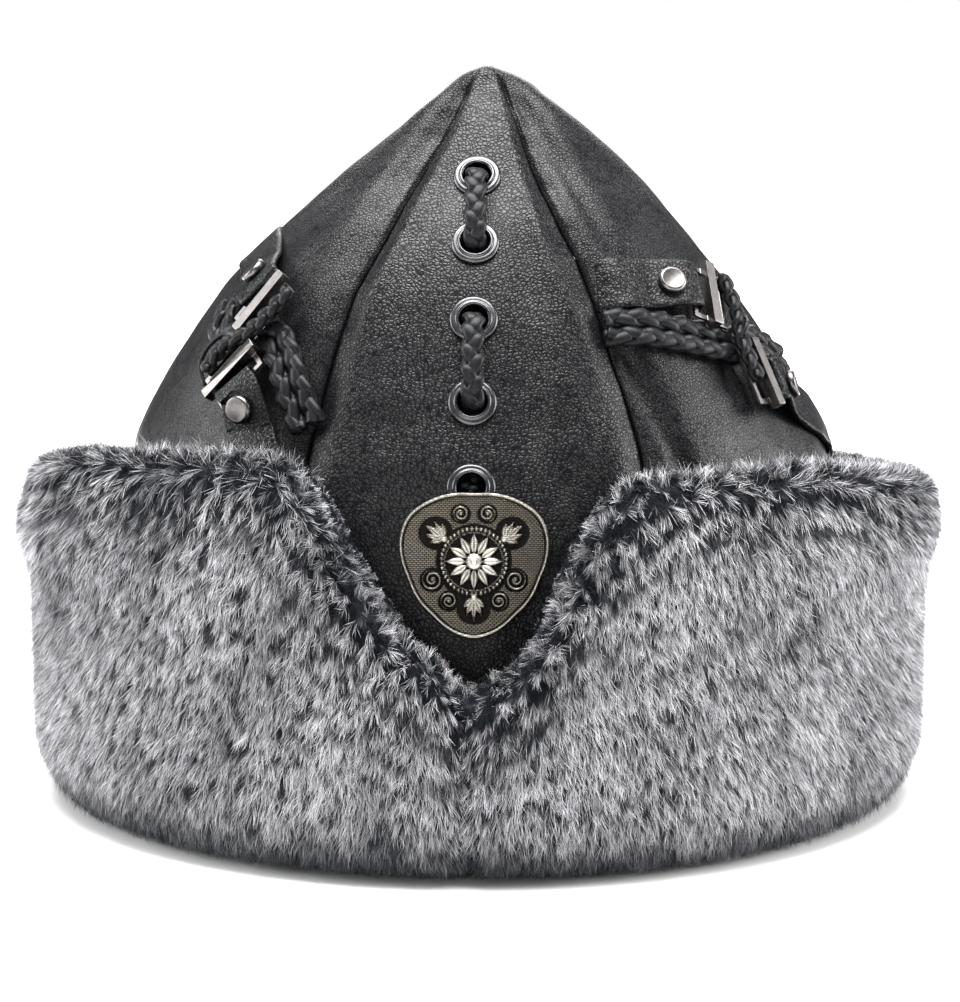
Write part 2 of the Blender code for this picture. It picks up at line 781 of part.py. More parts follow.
def make_badge(parts, cutters, material):
    """A cast shield: flat plate, raised rim, and a plain rosette and buds in relief, on two short posts."""
    place = frame_at(front_angle(BADGE_HEIGHT, BADGE_LINE), BADGE_HEIGHT, BADGE_OFF)
    plate_curve = add_object("plate_curve", outline_curve("plate", BADGE_PLATE / 2, 0, True), cutters)
    badge = add_object("badge", mesh_of(plate_curve, "badge"), parts, material)
    lift = Matrix.Translation((0, 0, BADGE_PLATE / 2 * MM))
    badge.matrix_world = place @ lift
    rim_curve = add_object("rim_curve", outline_curve("rim", 0, BADGE_RIM, False), cutters)
    rim_curve.scale = (RIM_SCALE, RIM_SCALE, 1.0)
    bpy.context.view_layer.update()
    rim_scale = rim_curve.matrix_world.copy()
    rim = add_object("badge_rim", mesh_of(rim_curve, "badge_rim"), cutters)
    rim.data.transform(rim_scale)
    raised = place @ Matrix.Translation((0, 0, BADGE_PLATE * MM))
    rim.matrix_world = raised
    pieces = [rim]
    pieces.append(small_dome("badge_boss", BOSS, (0, ROSETTE_UP, 0), cutters))
    for k in range(ROSETTE_PETALS):
        turn = 2 * math.pi * k / ROSETTE_PETALS
        spot = (ROSETTE_RADIUS * math.cos(turn), ROSETTE_UP + ROSETTE_RADIUS * math.sin(turn), 0)
        pieces.append(small_dome(f"badge_petal_{k}", PETAL, spot, cutters, turn))
    for k, (x, y) in enumerate(BUD_PLACES):
        pieces.append(small_dome(f"badge_bud_{k}", BUD, (x, y, 0), cutters))
    for piece in pieces[1:]:
        piece.matrix_world = raised
    for side in (-1, 1):
        post = cylinder("badge_post", POST_RADIUS, BADGE_OFF, POST_SIDES, cutters)
        middle = Vector((side * POST_SPREAD, 0, POST_SUNK - BADGE_OFF / 2)) * MM
        post.matrix_world = place @ Matrix.Translation(middle)
        pieces.append(post)
    for piece in pieces:
        join(badge, piece)
    return badge


def laid(centre, right, up, off):
    """A point over the leather at a place of a side ornament, and the direction out of the crown there."""
    angle, height = panel_place(centre, right, up)
    out = crown_axes(angle, height)[2]
    return on_crown(angle, height, LAID_SHARE * relief(angle, height) + off), out


def lay_points(centre, rows, stand_offs):
    """Points over the leather and their outward directions, along rows of (right, up, ...)."""
    places = [laid(centre, row[0], row[1], off) for row, off in zip(rows, stand_offs)]
    return [point for point, _ in places], [out for _, out in places]


def make_band(name, centre, route, parts, material):
    """The broad braid, as one bar of low oval section."""
    rows = spline(route, BAND_SECTIONS)
    middle = CLEAR + BAND_THICKNESS / 2
    points, outs = lay_points(centre, rows, [middle] * len(rows))
    mesh = oval_sweep(name, points, outs, BAND_WIDTH, BAND_THICKNESS)
    return add_object(name, mesh, parts, material)


def make_cord(name, centre, route, parts, material):
    rows = spline(route, CORD_SECTIONS)
    points, outs = lay_points(centre, rows, rows[:, 2])
    mesh = oval_sweep(name, points, outs, CORD_WIDTH, CORD_WIDTH)
    return add_object(name, mesh, parts, material)


def make_strap(name, centre, route, parts, material):
    """A leather strap: an open surface along its route, thickened outwards."""
    rows = spline(route, STRAP_SECTIONS)
    grid = []
    for i, (right, up, width, off) in enumerate(rows):
        along = rows[min(i + 1, len(rows) - 1)][:2] - rows[max(i - 1, 0)][:2]
        along /= np.linalg.norm(along)
        across = np.array((-along[1], along[0]))
        line = []
        for share in STRAP_SHARES:
            spot = np.array((right, up)) + across * share * width
            line.append(laid(centre, *spot, off)[0])
        grid.append(line)
    mesh = grid_mesh(name, grid)
    face_out(mesh, on_crown(*centre, OUTSIDE))
    strap = add_object(name, mesh, parts, material)
    wall = strap.modifiers.new("leather", "SOLIDIFY")
    wall.thickness = STRAP_THICKNESS * MM
    wall.offset = 1.0
    return strap


def face_out(mesh, viewpoint):
    """Flips an open surface whose faces look away from a point in millimetres."""
    mesh.update()
    face = mesh.polygons[len(mesh.polygons) // 2]
    if face.normal.dot(Vector(viewpoint * MM) - face.center) < 0:
        mesh.flip_normals()


def strap_frame(centre, route, spot):
    """A matrix in metres on top of a strap, at a spot near its middle line. Its z points out of the strap."""
    rows = spline(route, STRAP_SEARCH)
    nearest = int(np.argmin(np.hypot(rows[:, 0] - spot[0], rows[:, 1] - spot[1])))
    step = rows[nearest + 1] - rows[nearest - 1]
    length = np.linalg.norm(step[:2])
    along, climb = step[:2] / length, step[3] / length
    across = np.array((-along[1], along[0]))
    top = rows[nearest][3] + STRAP_THICKNESS

    def surface(onwards, sideways):
        place = np.array(spot) + along * onwards + across * sideways
        return laid(centre, *place, top + climb * onwards)[0]

    lengthways = surface(1, 0) - surface(-1, 0)
    out = np.cross(lengthways, surface(0, 1) - surface(0, -1))
    lengthways /= np.linalg.norm(lengthways)
    out /= np.linalg.norm(out)
    basis = Matrix((lengthways, np.cross(out, lengthways), out)).transposed().to_4x4()
    return Matrix.Translation(Vector(surface(0, 0) * MM)) @ basis


def make_rivet(name, centre, route, spot, parts, material):
    rivet = cylinder(name, RIVET_RADIUS, RIVET_HEIGHT, RIVET_SIDES, parts, material)
    lift = Matrix.Translation((0, 0, (CLEAR + RIVET_HEIGHT / 2) * MM))
    rivet.matrix_world = strap_frame(centre, route, spot) @ lift
    edge = rivet.modifiers.new("rounded", "BEVEL")
    edge.width = RIVET_EDGE * MM
    edge.segments = 1
    return rivet


def cube_between(name, low, high, collection, material=None):
    """A box with the given corners, in millimetres."""
    low, high = np.array(low), np.array(high)
    shape = bmesh.new()
    bmesh.ops.create_cube(shape, size=1.0)
    size = Matrix.Diagonal((*((high - low) * MM), 1.0))
    middle = Matrix.Translation(Vector((low + high) / 2 * MM))
    bmesh.ops.transform(shape, matrix=middle @ size, verts=shape.verts)
    mesh = bpy.data.meshes.new(name)
    shape.to_mesh(mesh)
    shape.free()
    return add_object(name, mesh, collection, material)


def make_slide(name, centre, place, parts, cutters, material):
    """A three-bar slide: a flat frame with two windows and a raised middle bar. The strap passes over its
    -x rail, and the cord over its +x rail."""
    right, up, turn = place
    angle, height = panel_place(centre, right, up)
    matrix = frame_at(angle, height, SLIDE_PLANE, turn)
    reach, end = SLIDE_WIDTH / 2, SLIDE_LENGTH / 2
    slide = cube_between(name, (-reach, -end, 0), (reach, end, SLIDE_PLATE), parts, material)
    slide.matrix_world = matrix
    bar_side = SLIDE_BAR_WIDTH / 2
    window_side, window_end = reach - SLIDE_RAIL, end - SLIDE_RAIL
    for label, low_x, high_x in (("strap", -window_side, -bar_side), ("cord", bar_side, window_side)):
        low = (low_x, -window_end, -OVERCUT)
        high = (high_x, window_end, SLIDE_PLATE + OVERCUT)
        window = cube_between(f"{name}_{label}_window", low, high, cutters)
        window.matrix_world = matrix
        window.display_type = "WIRE"
        window.hide_render = True
        cut = slide.modifiers.new(window.name, "BOOLEAN")
        cut.operation = "DIFFERENCE"
        cut.object = window
    bar_end = SLIDE_BAR_LENGTH / 2
    low = (-bar_side, -bar_end, SLIDE_BAR_FOOT)
    bar = cube_between(name + "_bar", low, (bar_side, bar_end, SLIDE_BAR_TOP), cutters)
    bar.matrix_world = matrix
    join(slide, bar)
    return slide


def make_panel(side, layout, parts, cutters, materials):
    """One side ornament. Its lower slide is turned half round, so that its strap leaves on the other side."""
    centre = layout["centre"]
    make_band(f"braid_band_{side}", centre, layout["band"], parts, materials["cord"])
    make_cord(f"cord_loop_{side}", centre, layout["cord"], parts, materials["cord"])
    for level, half_turn in (("upper", 0.0), ("lower", 180.0)):
        route = layout[f"{level}_strap"]
        make_strap(f"{level}_strap_{side}", centre, route, parts, materials["leather"])
        spot = layout[f"{level}_rivet"]
        make_rivet(f"{level}_rivet_{side}", centre, route, spot, parts, materials["nickel"])
        right, up, turn = layout[f"{level}_slide"]
        place = (right, up, turn + half_turn)
        make_slide(f"{level}_slide_{side}", centre, place, parts, cutters, materials["nickel"])


def main():
    clear_scene()
    parts = make_collection("bork_hat")
    cutters = make_collection("cutters", hidden=True)
    materials = {name: make_material(name) for name in FINISHES}
    gores = {}
    for name, before, after in GORES:
        gores[name] = make_gore(name, before, after, parts, materials["leather"])
    make_cuff(parts, materials["fur"])
    make_eyelets(gores["gore_front"], parts, cutters, materials["gunmetal"])
    make_lace(parts, materials["cord"])
    make_badge(parts, cutters, materials["pewter"])
    for side, layout in PANELS.items():
        make_panel(side, layout, parts, cutters, materials)


main()
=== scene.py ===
"""The looks of the bork hat: leather crown, deep fur cuff, plaited laces, cast badge and nickel fittings.

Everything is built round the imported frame. The front faces -Y, +X is to the right as the front is seen and
the cuff stands on z = 0. Tables and drawing are in millimetres, and meshes in metres. Angles round the hat
are degrees, 0 at the front and growing towards +X.
"""
import math
from functools import cached_property

import bmesh
import bpy
import numpy as np
from mathutils import Matrix, Vector


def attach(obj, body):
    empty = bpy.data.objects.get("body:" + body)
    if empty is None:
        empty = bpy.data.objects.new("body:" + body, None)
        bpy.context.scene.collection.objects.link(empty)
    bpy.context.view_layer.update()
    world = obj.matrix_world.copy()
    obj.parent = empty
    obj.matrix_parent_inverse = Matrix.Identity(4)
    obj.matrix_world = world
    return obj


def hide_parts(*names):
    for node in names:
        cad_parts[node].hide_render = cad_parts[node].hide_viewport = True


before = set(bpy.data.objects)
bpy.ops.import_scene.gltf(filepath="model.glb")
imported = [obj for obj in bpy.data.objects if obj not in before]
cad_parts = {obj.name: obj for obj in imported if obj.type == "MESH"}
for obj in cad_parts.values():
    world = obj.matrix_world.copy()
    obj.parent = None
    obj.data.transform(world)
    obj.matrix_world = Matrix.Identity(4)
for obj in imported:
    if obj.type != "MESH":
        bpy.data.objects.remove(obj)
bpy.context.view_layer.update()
MM = 0.001

# Camera, in millimetres and degrees: fitted to the photograph
CAMERA_DISTANCE = 850.0
CAMERA_HEIGHT = 190.0
CAMERA_TURN = 2.0
CAMERA_PITCH = 82.7
FOCAL_PIXELS = 2975.0
PICTURE_HEIGHT = 1002.0
SHIFT_PIXELS = -1.5

# Strength of the surround below one height over the horizon and above another, and as the camera sees it
SURROUND_LOW = 0.10
SURROUND_HIGH = 0.8
SURROUND_RISE = (0.45, 0.95)
SURROUND_SEEN = 1.0
# Lights: name, place in metres, width, height, watts. They point at a place in metres
LIGHTS = (
    ("overhead", (-0.05, -0.10, 1.25), 1.2, 0.8, 62.0),
    ("left", (-1.30, 0.05, 0.50), 0.9, 0.8, 21.0),
    ("right", (1.30, 0.05, 0.50), 0.9, 0.8, 27.0),
    ("front", (-0.35, -1.6, 0.45), 0.7, 0.5, 6.0),
    ("behind", (0.0, 1.3, 0.9), 1.2, 0.6, 12.0),
)
LIT_PLACE = (0.0, 0.0, 0.1)
# Floor, in metres: half its side, depth under the hat, and radii between which it passes into a glow
FLOOR_REACH = 6.0
FLOOR_UNDER = 0.0004
FLOOR_MIDDLE = 0.35
FLOOR_GLOW = 1.5
FLOOR_COLOUR = (0.90, 0.90, 0.90)

# Crown, puffed out between its seams: height, half width, front reach, back reach, shift towards +X
CROWN = (
    (0.0, 96.5, 103.0, 103.0, 0.0),
    (20.0, 97.0, 103.0, 103.0, 0.0),
    (50.0, 99.5, 102.0, 103.0, 0.0),
    (80.0, 101.5, 97.5, 101.5, 0.0),
    (100.0, 99.5, 91.3, 95.0, -0.3),
    (115.0, 92.0, 85.0, 84.5, -0.5),
    (130.0, 82.0, 78.6, 72.0, -0.9),
    (145.0, 71.3, 71.3, 57.5, -1.0),
    (160.0, 57.6, 62.0, 40.0, 0.7),
    (175.0, 43.0, 50.0, 21.0, 2.6),
    (190.0, 26.0, 39.5, 0.5, 3.9),
    (198.0, 15.6, 33.5, -11.0, 3.5),
    (201.0, 11.5, 31.0, -15.5, 3.2),
    (204.0, 4.5, 28.0, -20.5, 2.8),
    (204.6, 1.2, 25.2, -22.8, 2.8),
)
CROWN_FOOT = 3.6
CROWN_TOP = 204.6
LEATHER = 1.6

# Seams round the hat: angle low on the crown, angle at the tip, and the gore that follows
SEAMS = (
    (-26.6, -26.6, "front"),
    (28.0, 17.0, "front_right"),
    (90.0, 90.0, "back_right"),
    (155.0, 155.0, "back"),
    (205.0, 205.0, "back_left"),
    (270.0, 270.0, "front_left"),
)
# Heights between which the seams turn
SEAM_TURN = (146.0, 192.0)
SEAM_GAP = 0.12
# Grid of a gore, how much its rows crowd towards the tip, and how much its columns crowd towards its edges
GORE_ROWS = 104
GORE_COLUMNS = 53
TIP_CROWDING = 1.35
EDGE_CROWDING = 0.65
# Seam valley: half width, and height, depth. Pucker: depth, and its two waves along the seam
VALLEY_WIDTH = 5.5
VALLEY = ((0.0, 0.8), (70.0, 1.4), (110.0, 2.6), (150.0, 2.2), (185.0, 2.6), (197.0, 1.7), (204.6, 0.1))
PUCKER = 0.22
PUCKER_WAVES = (0.85, 0.31)
# Loose folds of the leather: angle and height at the upper and lower end, depth in (-) or out (+), half width
FOLDS = (
    (30.5, 131.0, 35.0, 92.0, -2.2, 3.4),
    (-36.0, 197.0, -34.0, 150.0, -1.0, 3.0),
    (27.0, 197.0, 38.0, 152.0, -1.0, 3.0),
    (-19.5, 199.0, -21.0, 140.0, 1.3, 3.0),
    (9.5, 199.0, 21.5, 140.0, 1.4, 3.0),
)
# Soft lumps of the leather: size, height, seed. Curl of its sewn edges: depth, reach
LUMPS = ((34.0, 0.30, 3), (11.0, 0.12, 4))
EDGE_CURL = (1.25, 0.75)
# How far what is laid on the leather sinks into its seams and folds, as a share of their depth
LAID_SHARE = 0.85

# Fur cuff, at the tips of its pile: height, half width, front reach, back reach
CUFF = (
    (0.0, 126.5, 133.0, 133.5),
    (58.0, 126.8, 132.6, 134.0),
    (78.0, 131.0, 132.0, 134.0),
    (112.0, 131.5, 130.5, 134.0),
)
# Upper rim of the cuff, with the notch at the front: angle, height
RIM = (
    (-180.0, 90.0), (-110.0, 92.0), (-80.0, 99.0), (-62.0, 105.0), (-45.0, 107.5), (-27.0, 109.0),
    (-18.0, 105.5), (-12.0, 89.0), (-6.6, 72.0), (-2.6, 59.0), (0.2, 50.0), (4.6, 58.0), (8.4, 70.0),
    (12.2, 88.0), (15.0, 98.0), (19.0, 103.5), (27.0, 104.5), (45.0, 104.5), (62.0, 100.5), (80.0, 95.5),
    (110.0, 92.0), (180.0, 90.0),
)
# How much lower the band's base lies along the notch than the rim's tips: angle, millimetres
NOTCH_INSET = (
    (-180.0, 0.0), (-22.0, 0.0), (-18.0, 5.0), (-15.0, 9.0), (-11.0, 9.5), (-7.0, 8.0), (-4.0, 3.0),
    (-1.0, -2.0), (1.5, -2.0), (4.0, 1.0), (7.0, 4.0), (11.0, 6.5), (14.0, 5.0), (17.0, 2.5), (21.0, 0.0),
    (180.0, 0.0),
)
CUFF_CORNER = 20.0
CUFF_TOP_THICKNESS = 24.0
# Height of the rounded rim as a share of that thickness, and millimetres between the crown and the backing
RIM_ROUNDING = 0.42
BACKING_OFF = 0.4
# How much fuller the pile is low down at each side
LEFT_BULGE = 3.6
RIGHT_BULGE = 1.6
CUFF_COLUMNS = 420
# Rows of the cuff's section: up the backing, over the rim, down the outside and round the lower corner
BACKING_ROWS = 10
RIM_ROWS = 17
OUTSIDE_ROWS = 27
CORNER_ROWS = 7
# Millimetres round the cuff for each degree, and half width of the seam below the notch
CUFF_ARC = 2.3
CUFF_SEAM = 3.2

# Pile: length of its strands, depth over its base in the body, at the rim and more at the seam, strand width,
# size of its tufts and of the larger tufts that they lie in
PILE_LENGTH = 4.7
PILE_DEPTH = 3.2
RIM_PILE_DEPTH = 4.1
SEAM_PILE_DEPTH = 3.5
STRAND_WIDTH = 0.20
TUFT_SIZE = 1.15
BIG_TUFT_SIZE = 3.3
TUFT_TABLE = 64
# What turns a strand: combing, its tuft's way, the larger tuft's way (body, and more at the rim), chance
COMBING = 1.1
OWN_WAY = 0.24
SHARED_WAY = (0.10, 0.55)
CHANCE = 0.20
# How far tips are drawn to the middle of their tuft, and of the larger tuft in the body and more at the rim
DRAWN = 0.46
BIG_DRAWN = (0.05, 0.30)
# Lowest height of a strand, least and added by chance
STRAND_FLOOR = (0.3, 0.8)
# Angle from the front within which the pile lies in the notch, and how far that takes to end
NOTCH_REACH = (24.0, 8.0)
# Quarters of the pile round the hat, and the seed of the first one's strands
FUR_PARTS = ("front_right", "back_right", "back_left", "front_left")
FUR_SEED = 100
# Strands of each part: bent ones of three triangles, and straight ones of one.
BENT_STRANDS = 16000
STRAIGHT_STRANDS = 120000
# Colours of the pile, from root to tip, and of the wool under it
KNEE_TONE = 0.42
PILE_ROOT = (0.006, 0.008, 0.011)
PILE_MIDDLE = (0.12, 0.122, 0.131)
PILE_TIP = (0.86, 0.85, 0.88)
UNDER_DARK = (0.004, 0.005, 0.007)
UNDER_LIGHT = (0.02, 0.022, 0.027)

# Eyelets, from the top: heights, radius of the cut holes, place across the front, stand-off
EYELET_HEIGHTS = (174.9, 157.7, 138.3, 117.4, 96.2)
EYELET_CUT = 4.6
FRONT_LINE = 0.6
EYELET_OFF = 0.24
# Turned sections: radius, height over the leather
EYELET_PROFILE = (
    (3.70, -2.5), (3.70, 0.75), (3.82, 1.15), (4.10, 1.42), (4.45, 1.46), (4.75, 1.28), (4.92, 1.02),
    (5.15, 1.00), (5.55, 1.04), (5.95, 0.90), (6.25, 0.58), (6.40, 0.18), (6.36, 0.0), (4.30, 0.0),
    (4.30, -2.5),
)
RIVET_PROFILE = (
    (0.0, 1.80), (2.6, 1.82), (2.95, 1.93), (3.30, 1.88), (3.62, 1.56), (3.80, 1.05), (3.80, 0.0), (0.0, 0.0),
)
RIVET_LIFT = 0.25

# Front lace: share of the way from one eyelet to the next, stand-off
LACE_OUTSIDE = (
    (0.0, -3.6), (0.0, 0.6), (0.08, 3.2), (0.24, 4.6), (0.5, 4.9), (0.76, 4.6), (0.92, 3.2), (1.0, 0.6),
    (1.0, -3.6),
)
LACE_INSIDE = ((0.12, -5.6), (0.5, -6.0), (0.88, -5.6))
LACE_START = ((-0.75, -5.8), (-0.25, -5.6))
LACE_END = ((0.0, -3.6), (0.0, -0.6))

# Plaits: width, thickness, length of a period, and the width and thickness of a strand
LACE_PLAIT = (6.5, 3.9, 17.0, (3.75, 2.15))
BAND_PLAIT = (5.7, 3.4, 19.5, (3.5, 2.1))
CORD_PLAIT = (5.0, 3.6, 13.5, (2.7, 2.1))
# The band's two plaits: millimetres between their middles, and over the leather
BAND_APART = 5.3
BAND_OFF = 0.35
THONG = 1.3
STRAP_THICKNESS = 1.6
STRAP_EDGE_LIFT = 0.5

# Side ornaments. Each is laid out on the crown round a centre (angle, height). Places are (right, up) as
# seen from outside, in millimetres from that centre. Band: right, up. Cord and thong: right, up, stand-off.
# Straps: right, up, width, stand-off, the first two rows bending down into the slide.
PANELS = {
    "right": {
        "centre": (61.0, 130.0),
        "band": (
            (-42.4, 13.4), (-33.8, 9.5), (-24.0, 5.1), (-14.0, 1.0), (-5.0, -1.2), (4.0, -0.8), (11.0, -3.0),
            (18.4, -7.4),
        ),
        "upper_strap": (
            (-13.4, 15.7, 12.6, 3.0), (-13.7, 15.8, 12.8, 4.7), (-14.2, 16.0, 13.0, 5.1),
            (-16.2, 16.8, 13.2, 5.1), (-17.9, 17.4, 13.5, 4.6), (-21.8, 19.0, 14.2, 2.8),
            (-25.8, 20.6, 14.8, 0.9), (-29.4, 22.0, 15.0, 0.4), (-33.6, 23.6, 15.0, 0.1),
            (-36.0, 24.6, 15.0, -0.8), (-38.0, 25.4, 15.0, -2.2),
        ),
        "lower_strap": (
            (0.2, -14.1, 11.6, 3.0), (0.5, -14.15, 11.8, 4.7), (1.0, -14.2, 12.0, 5.1),
            (2.9, -14.4, 12.2, 5.1), (4.4, -14.9, 12.6, 4.7), (8.2, -16.5, 13.4, 2.9),
            (12.0, -18.3, 14.0, 1.1), (15.6, -19.8, 14.6, 0.4), (28.0, -22.8, 15.5, -0.4),
            (40.0, -24.8, 16.0, -1.0), (49.3, -26.5, 16.0, -1.4),
        ),
        "upper_rivet": (-21.4, 18.6),
        "lower_rivet": (6.8, -16.0),
        "cord": (
            (-3.0, 16.6, 6.4), (-3.6, 12.0, 6.5), (-4.4, 6.1, 6.5), (-6.3, 0.9, 6.1), (-7.5, -1.8, 6.4),
            (-8.2, -5.6, 6.5), (-8.4, -13.0, 6.4),
        ),
        "thong": (
            (-7.8, -0.8, 7.4), (-6.0, 1.6, 8.8), (-3.2, 3.2, 7.4), (-0.4, 5.6, 5.8), (0.6, 8.8, 4.4),
            (0.6, 12.4, 3.4), (0.0, 16.0, 3.0),
        ),
    },
    "left": {
        "centre": (-47.0, 133.0),
        "band": (
            (28.3, -22.4), (25.6, -18.7), (20.4, -11.9), (15.2, -5.2), (9.6, -1.0), (2.5, -1.8), (-4.0, -3.4),
            (-9.8, -2.4), (-12.9, 2.4), (-13.0, 8.6),
        ),
        "upper_strap": (
            (3.0, 10.8, 12.6, 3.0), (2.8, 10.95, 12.8, 4.7), (2.3, 11.2, 13.0, 5.1), (0.6, 12.2, 13.2, 5.1),
            (-0.7, 13.2, 13.5, 4.7), (-3.8, 15.8, 13.9, 2.9), (-6.9, 18.5, 14.2, 1.1),
            (-9.6, 20.9, 14.5, 0.3), (-15.5, 25.4, 15.0, -0.3), (-24.0, 30.0, 15.0, -1.0),
            (-32.6, 34.5, 15.0, -1.5),
        ),
        "lower_strap": (
            (5.1, -15.3, 11.6, 3.2), (5.3, -15.45, 11.8, 5.0), (5.7, -15.8, 12.0, 5.4),
            (7.3, -17.0, 12.0, 5.6), (8.8, -18.2, 12.4, 5.3), (10.4, -22.0, 13.6, 3.2),
            (11.9, -25.8, 14.3, 1.2), (13.4, -28.9, 14.7, 0.5), (19.5, -38.0, 15.0, 0.5),
        ),
        "upper_rivet": (-3.0, 15.4),
        "lower_rivet": (10.0, -22.5),
        "cord": (
            (13.6, 10.6, 6.4), (12.9, 9.0, 6.5), (10.1, 4.1, 6.5), (7.6, 0.3, 6.5), (3.8, -3.3, 6.6),
            (-2.0, -6.7, 6.6), (-4.3, -11.0, 6.4), (-5.3, -14.0, 6.4),
        ),
        "thong": (
            (2.0, -4.6, 4.6), (-2.7, -3.1, 6.6), (-7.8, -6.2, 6.2), (-10.5, -9.9, 5.4), (-10.6, -13.3, 4.2),
            (-8.9, -16.6, 2.6),
        ),
    },
}
# Search for the place on the crown under a point of an ornament: rounds, step, longest move in a round
SEARCH_ROUNDS = 12
SEARCH_STEP = 0.2
SEARCH_REACH = 8

# Badge: place of its centre, stand-off of its back, thickness, and the right half of its outline
BADGE_LINE = 1.6
BADGE_HEIGHT = 76.6
BADGE_OFF = 2.3
BADGE_PLATE = 1.5
BADGE_OUTLINE = (
    (0.0, 18.7), (9.5, 17.8), (17.0, 13.2), (19.1, 8.0), (17.0, -3.0), (10.6, -12.6), (5.0, -17.2),
    (0.0, -18.6),
)
BADGE_BLUR = 0.10
BADGE_SECTORS = 300
BADGE_RINGS = 84
# Relief that counts as fully worn, height of the ruled ground, rise of the rosette's middle over the badge's
BADGE_HIGH = 0.95
BADGE_GROUND = 0.26
ROSETTE_UP = 1.2
ROSETTE_LEAVES = 12
BEADS = 44
BEAD_RING = 8.3
# Leaf sprays: direction from the middle in radians, distance. Their leaves: turn, length
BADGE_SPRAYS = ((-0.93, 9.6), (0.93, 9.6), (math.pi, 9.2))
SPRAY_LEAVES = ((0.0, 6.2), (-0.42, 5.2), (0.42, 5.2), (-0.85, 4.0), (0.85, 4.0))
# Scrolls: right, up, size, sense
BADGE_SCROLLS = ((10.6, -3.4, 2.6, 1), (6.4, -8.8, 2.1, -1), (3.4, 13.4, 2.0, -1))

# Leathers: size and depth of the pebbles in millimetres, roughness
FINE_GRAIN = (0.85, 0.055, 0.38)
COARSE_GRAIN = (1.05, 0.09, 0.37)
# Leather colours: the colour moves towards the dark one in the creases between the pebbles, which is painted
# shade, and in random broad patches
LEATHER_DARK = (0.0015, 0.0015, 0.002)
LEATHER_LIGHT = (0.007, 0.0072, 0.008)
CORD_DARK = (0.002, 0.002, 0.0025)
CORD_LIGHT = (0.010, 0.0105, 0.012)
SUEDE_DARK = (0.018, 0.018, 0.019)
SUEDE_LIGHT = (0.07, 0.068, 0.066)
# Shine of the leather's grain, of the plaits' strands and of the pile
LEATHER_SHINE = 0.29
CORD_SHINE = 0.15
PILE_SHINE = 0.06
# Metals: colour, darker colour of their patches
GUNMETAL = ((0.085, 0.085, 0.088), (0.055, 0.055, 0.058))
NICKEL = ((0.15, 0.14, 0.137), (0.11, 0.103, 0.10))
METAL_ROUGHNESS = 0.30
METAL_WEAR = 0.03
CAST_HOLLOW = (0.006, 0.0055, 0.005)
CAST_GROUND = (0.10, 0.09, 0.072)
CAST_HIGH = (0.58, 0.55, 0.49)
# Ruled ground of the badge, in millimetres
HATCH = {"Brick Width": 1.05, "Row Height": 0.52, "Mortar Size": 0.13, "Mortar Smooth": 0.6}
HATCH_TONES = {"Color1": 1.0, "Color2": 0.8, "Mortar": 0.0}


def read_table(rows):
    """A function that reads the table at an array of values of its first column, by monotone cubic curves."""
    table = np.array(rows, float)
    places, values = table[:, 0], table[:, 1:]
    steps = np.diff(places)[:, None]
    rises = np.diff(values, axis=0) / steps
    before, after = rises[:-1], rises[1:]
    weight_a = 2 * steps[1:] + steps[:-1]
    weight_b = steps[1:] + 2 * steps[:-1]
    same_way = before * after > 0
    safe_before = np.where(same_way, before, 1.0)
    safe_after = np.where(same_way, after, 1.0)
    mean = (weight_a + weight_b) / (weight_a / safe_before + weight_b / safe_after)
    slopes = np.vstack([rises[:1], np.where(same_way, mean, 0.0), rises[-1:]])

    def read(place):
        place = np.clip(np.asarray(place, float), places[0], places[-1])
        i = np.clip(np.searchsorted(places, place, side="right") - 1, 0, len(steps) - 1)
        t = ((place - places[i]) / steps[i, 0])[..., None]
        step = steps[i]
        start = (1 + 2 * t) * (1 - t) ** 2 * values[i] + t * (1 - t) ** 2 * step * slopes[i]
        end = t * t * (3 - 2 * t) * values[i + 1] - t * t * (1 - t) * step * slopes[i + 1]
        return start + end

    return read


read_crown = read_table(CROWN)
read_valley = read_table(VALLEY)
read_cuff = read_table(CUFF)
read_rim = read_table(RIM)
read_inset = read_table(NOTCH_INSET)


def smooth(value):
    """A soft step from 0 at 0 to 1 at 1."""
    value = np.clip(value, 0.0, 1.0)
    return value * value * (3 - 2 * value)


def bell(away, reach):
    """1 in the middle, falling off over a reach."""
    return np.exp(-((away / reach) ** 2))


def unit(vectors):
    return vectors / np.maximum(np.linalg.norm(vectors, axis=-1, keepdims=True), 1e-12)


def wrapped(angle):
    """Angles between -180 and 180 degrees."""
    return (np.asarray(angle) + 180.0) % 360.0 - 180.0


def oval(angle, height, half_width, front, back, shift=0.0):
    """Points on level ovals that are centred between their front and their back."""
    turn = np.radians(angle)
    middle = (back - front) / 2
    depth = (back + front) / 2
    return np.stack([shift + half_width * np.sin(turn), middle - depth * np.cos(turn), height + 0 * turn], -1)


def crown_point(angle, height):
    angle, height = np.broadcast_arrays(np.asarray(angle, float), np.asarray(height, float))
    half_width, front, back, shift = np.moveaxis(read_crown(height), -1, 0)
    return oval(angle, height, half_width, front, back, shift)


def crown_axes(angle, height):
    """Unit vectors along the crown: onwards round it, up its slope, and straight out."""
    step = 0.25
    onwards = crown_point(angle + step, height) - crown_point(angle - step, height)
    upwards = crown_point(angle, height + step) - crown_point(angle, height - step)
    out = unit(np.cross(onwards, upwards))
    onwards = unit(onwards)
    return onwards, np.cross(out, onwards), out


def on_crown(angle, height, off=0.0):
    off = np.asarray(off, float)
    return crown_point(angle, height) + crown_axes(angle, height)[2] * off[..., None]


def matrix_of(axes, place):
    """A matrix in metres that turns x, y and z onto three axes, at a place in millimetres."""
    basis = Matrix([list(axis) for axis in axes]).transposed().to_4x4()
    return Matrix.Translation(Vector(place * MM)) @ basis


def frame_at(angle, height, off):
    """A matrix in metres whose x runs onwards round the crown, y up its slope and z out."""
    return matrix_of(crown_axes(angle, height), on_crown(angle, height, off))


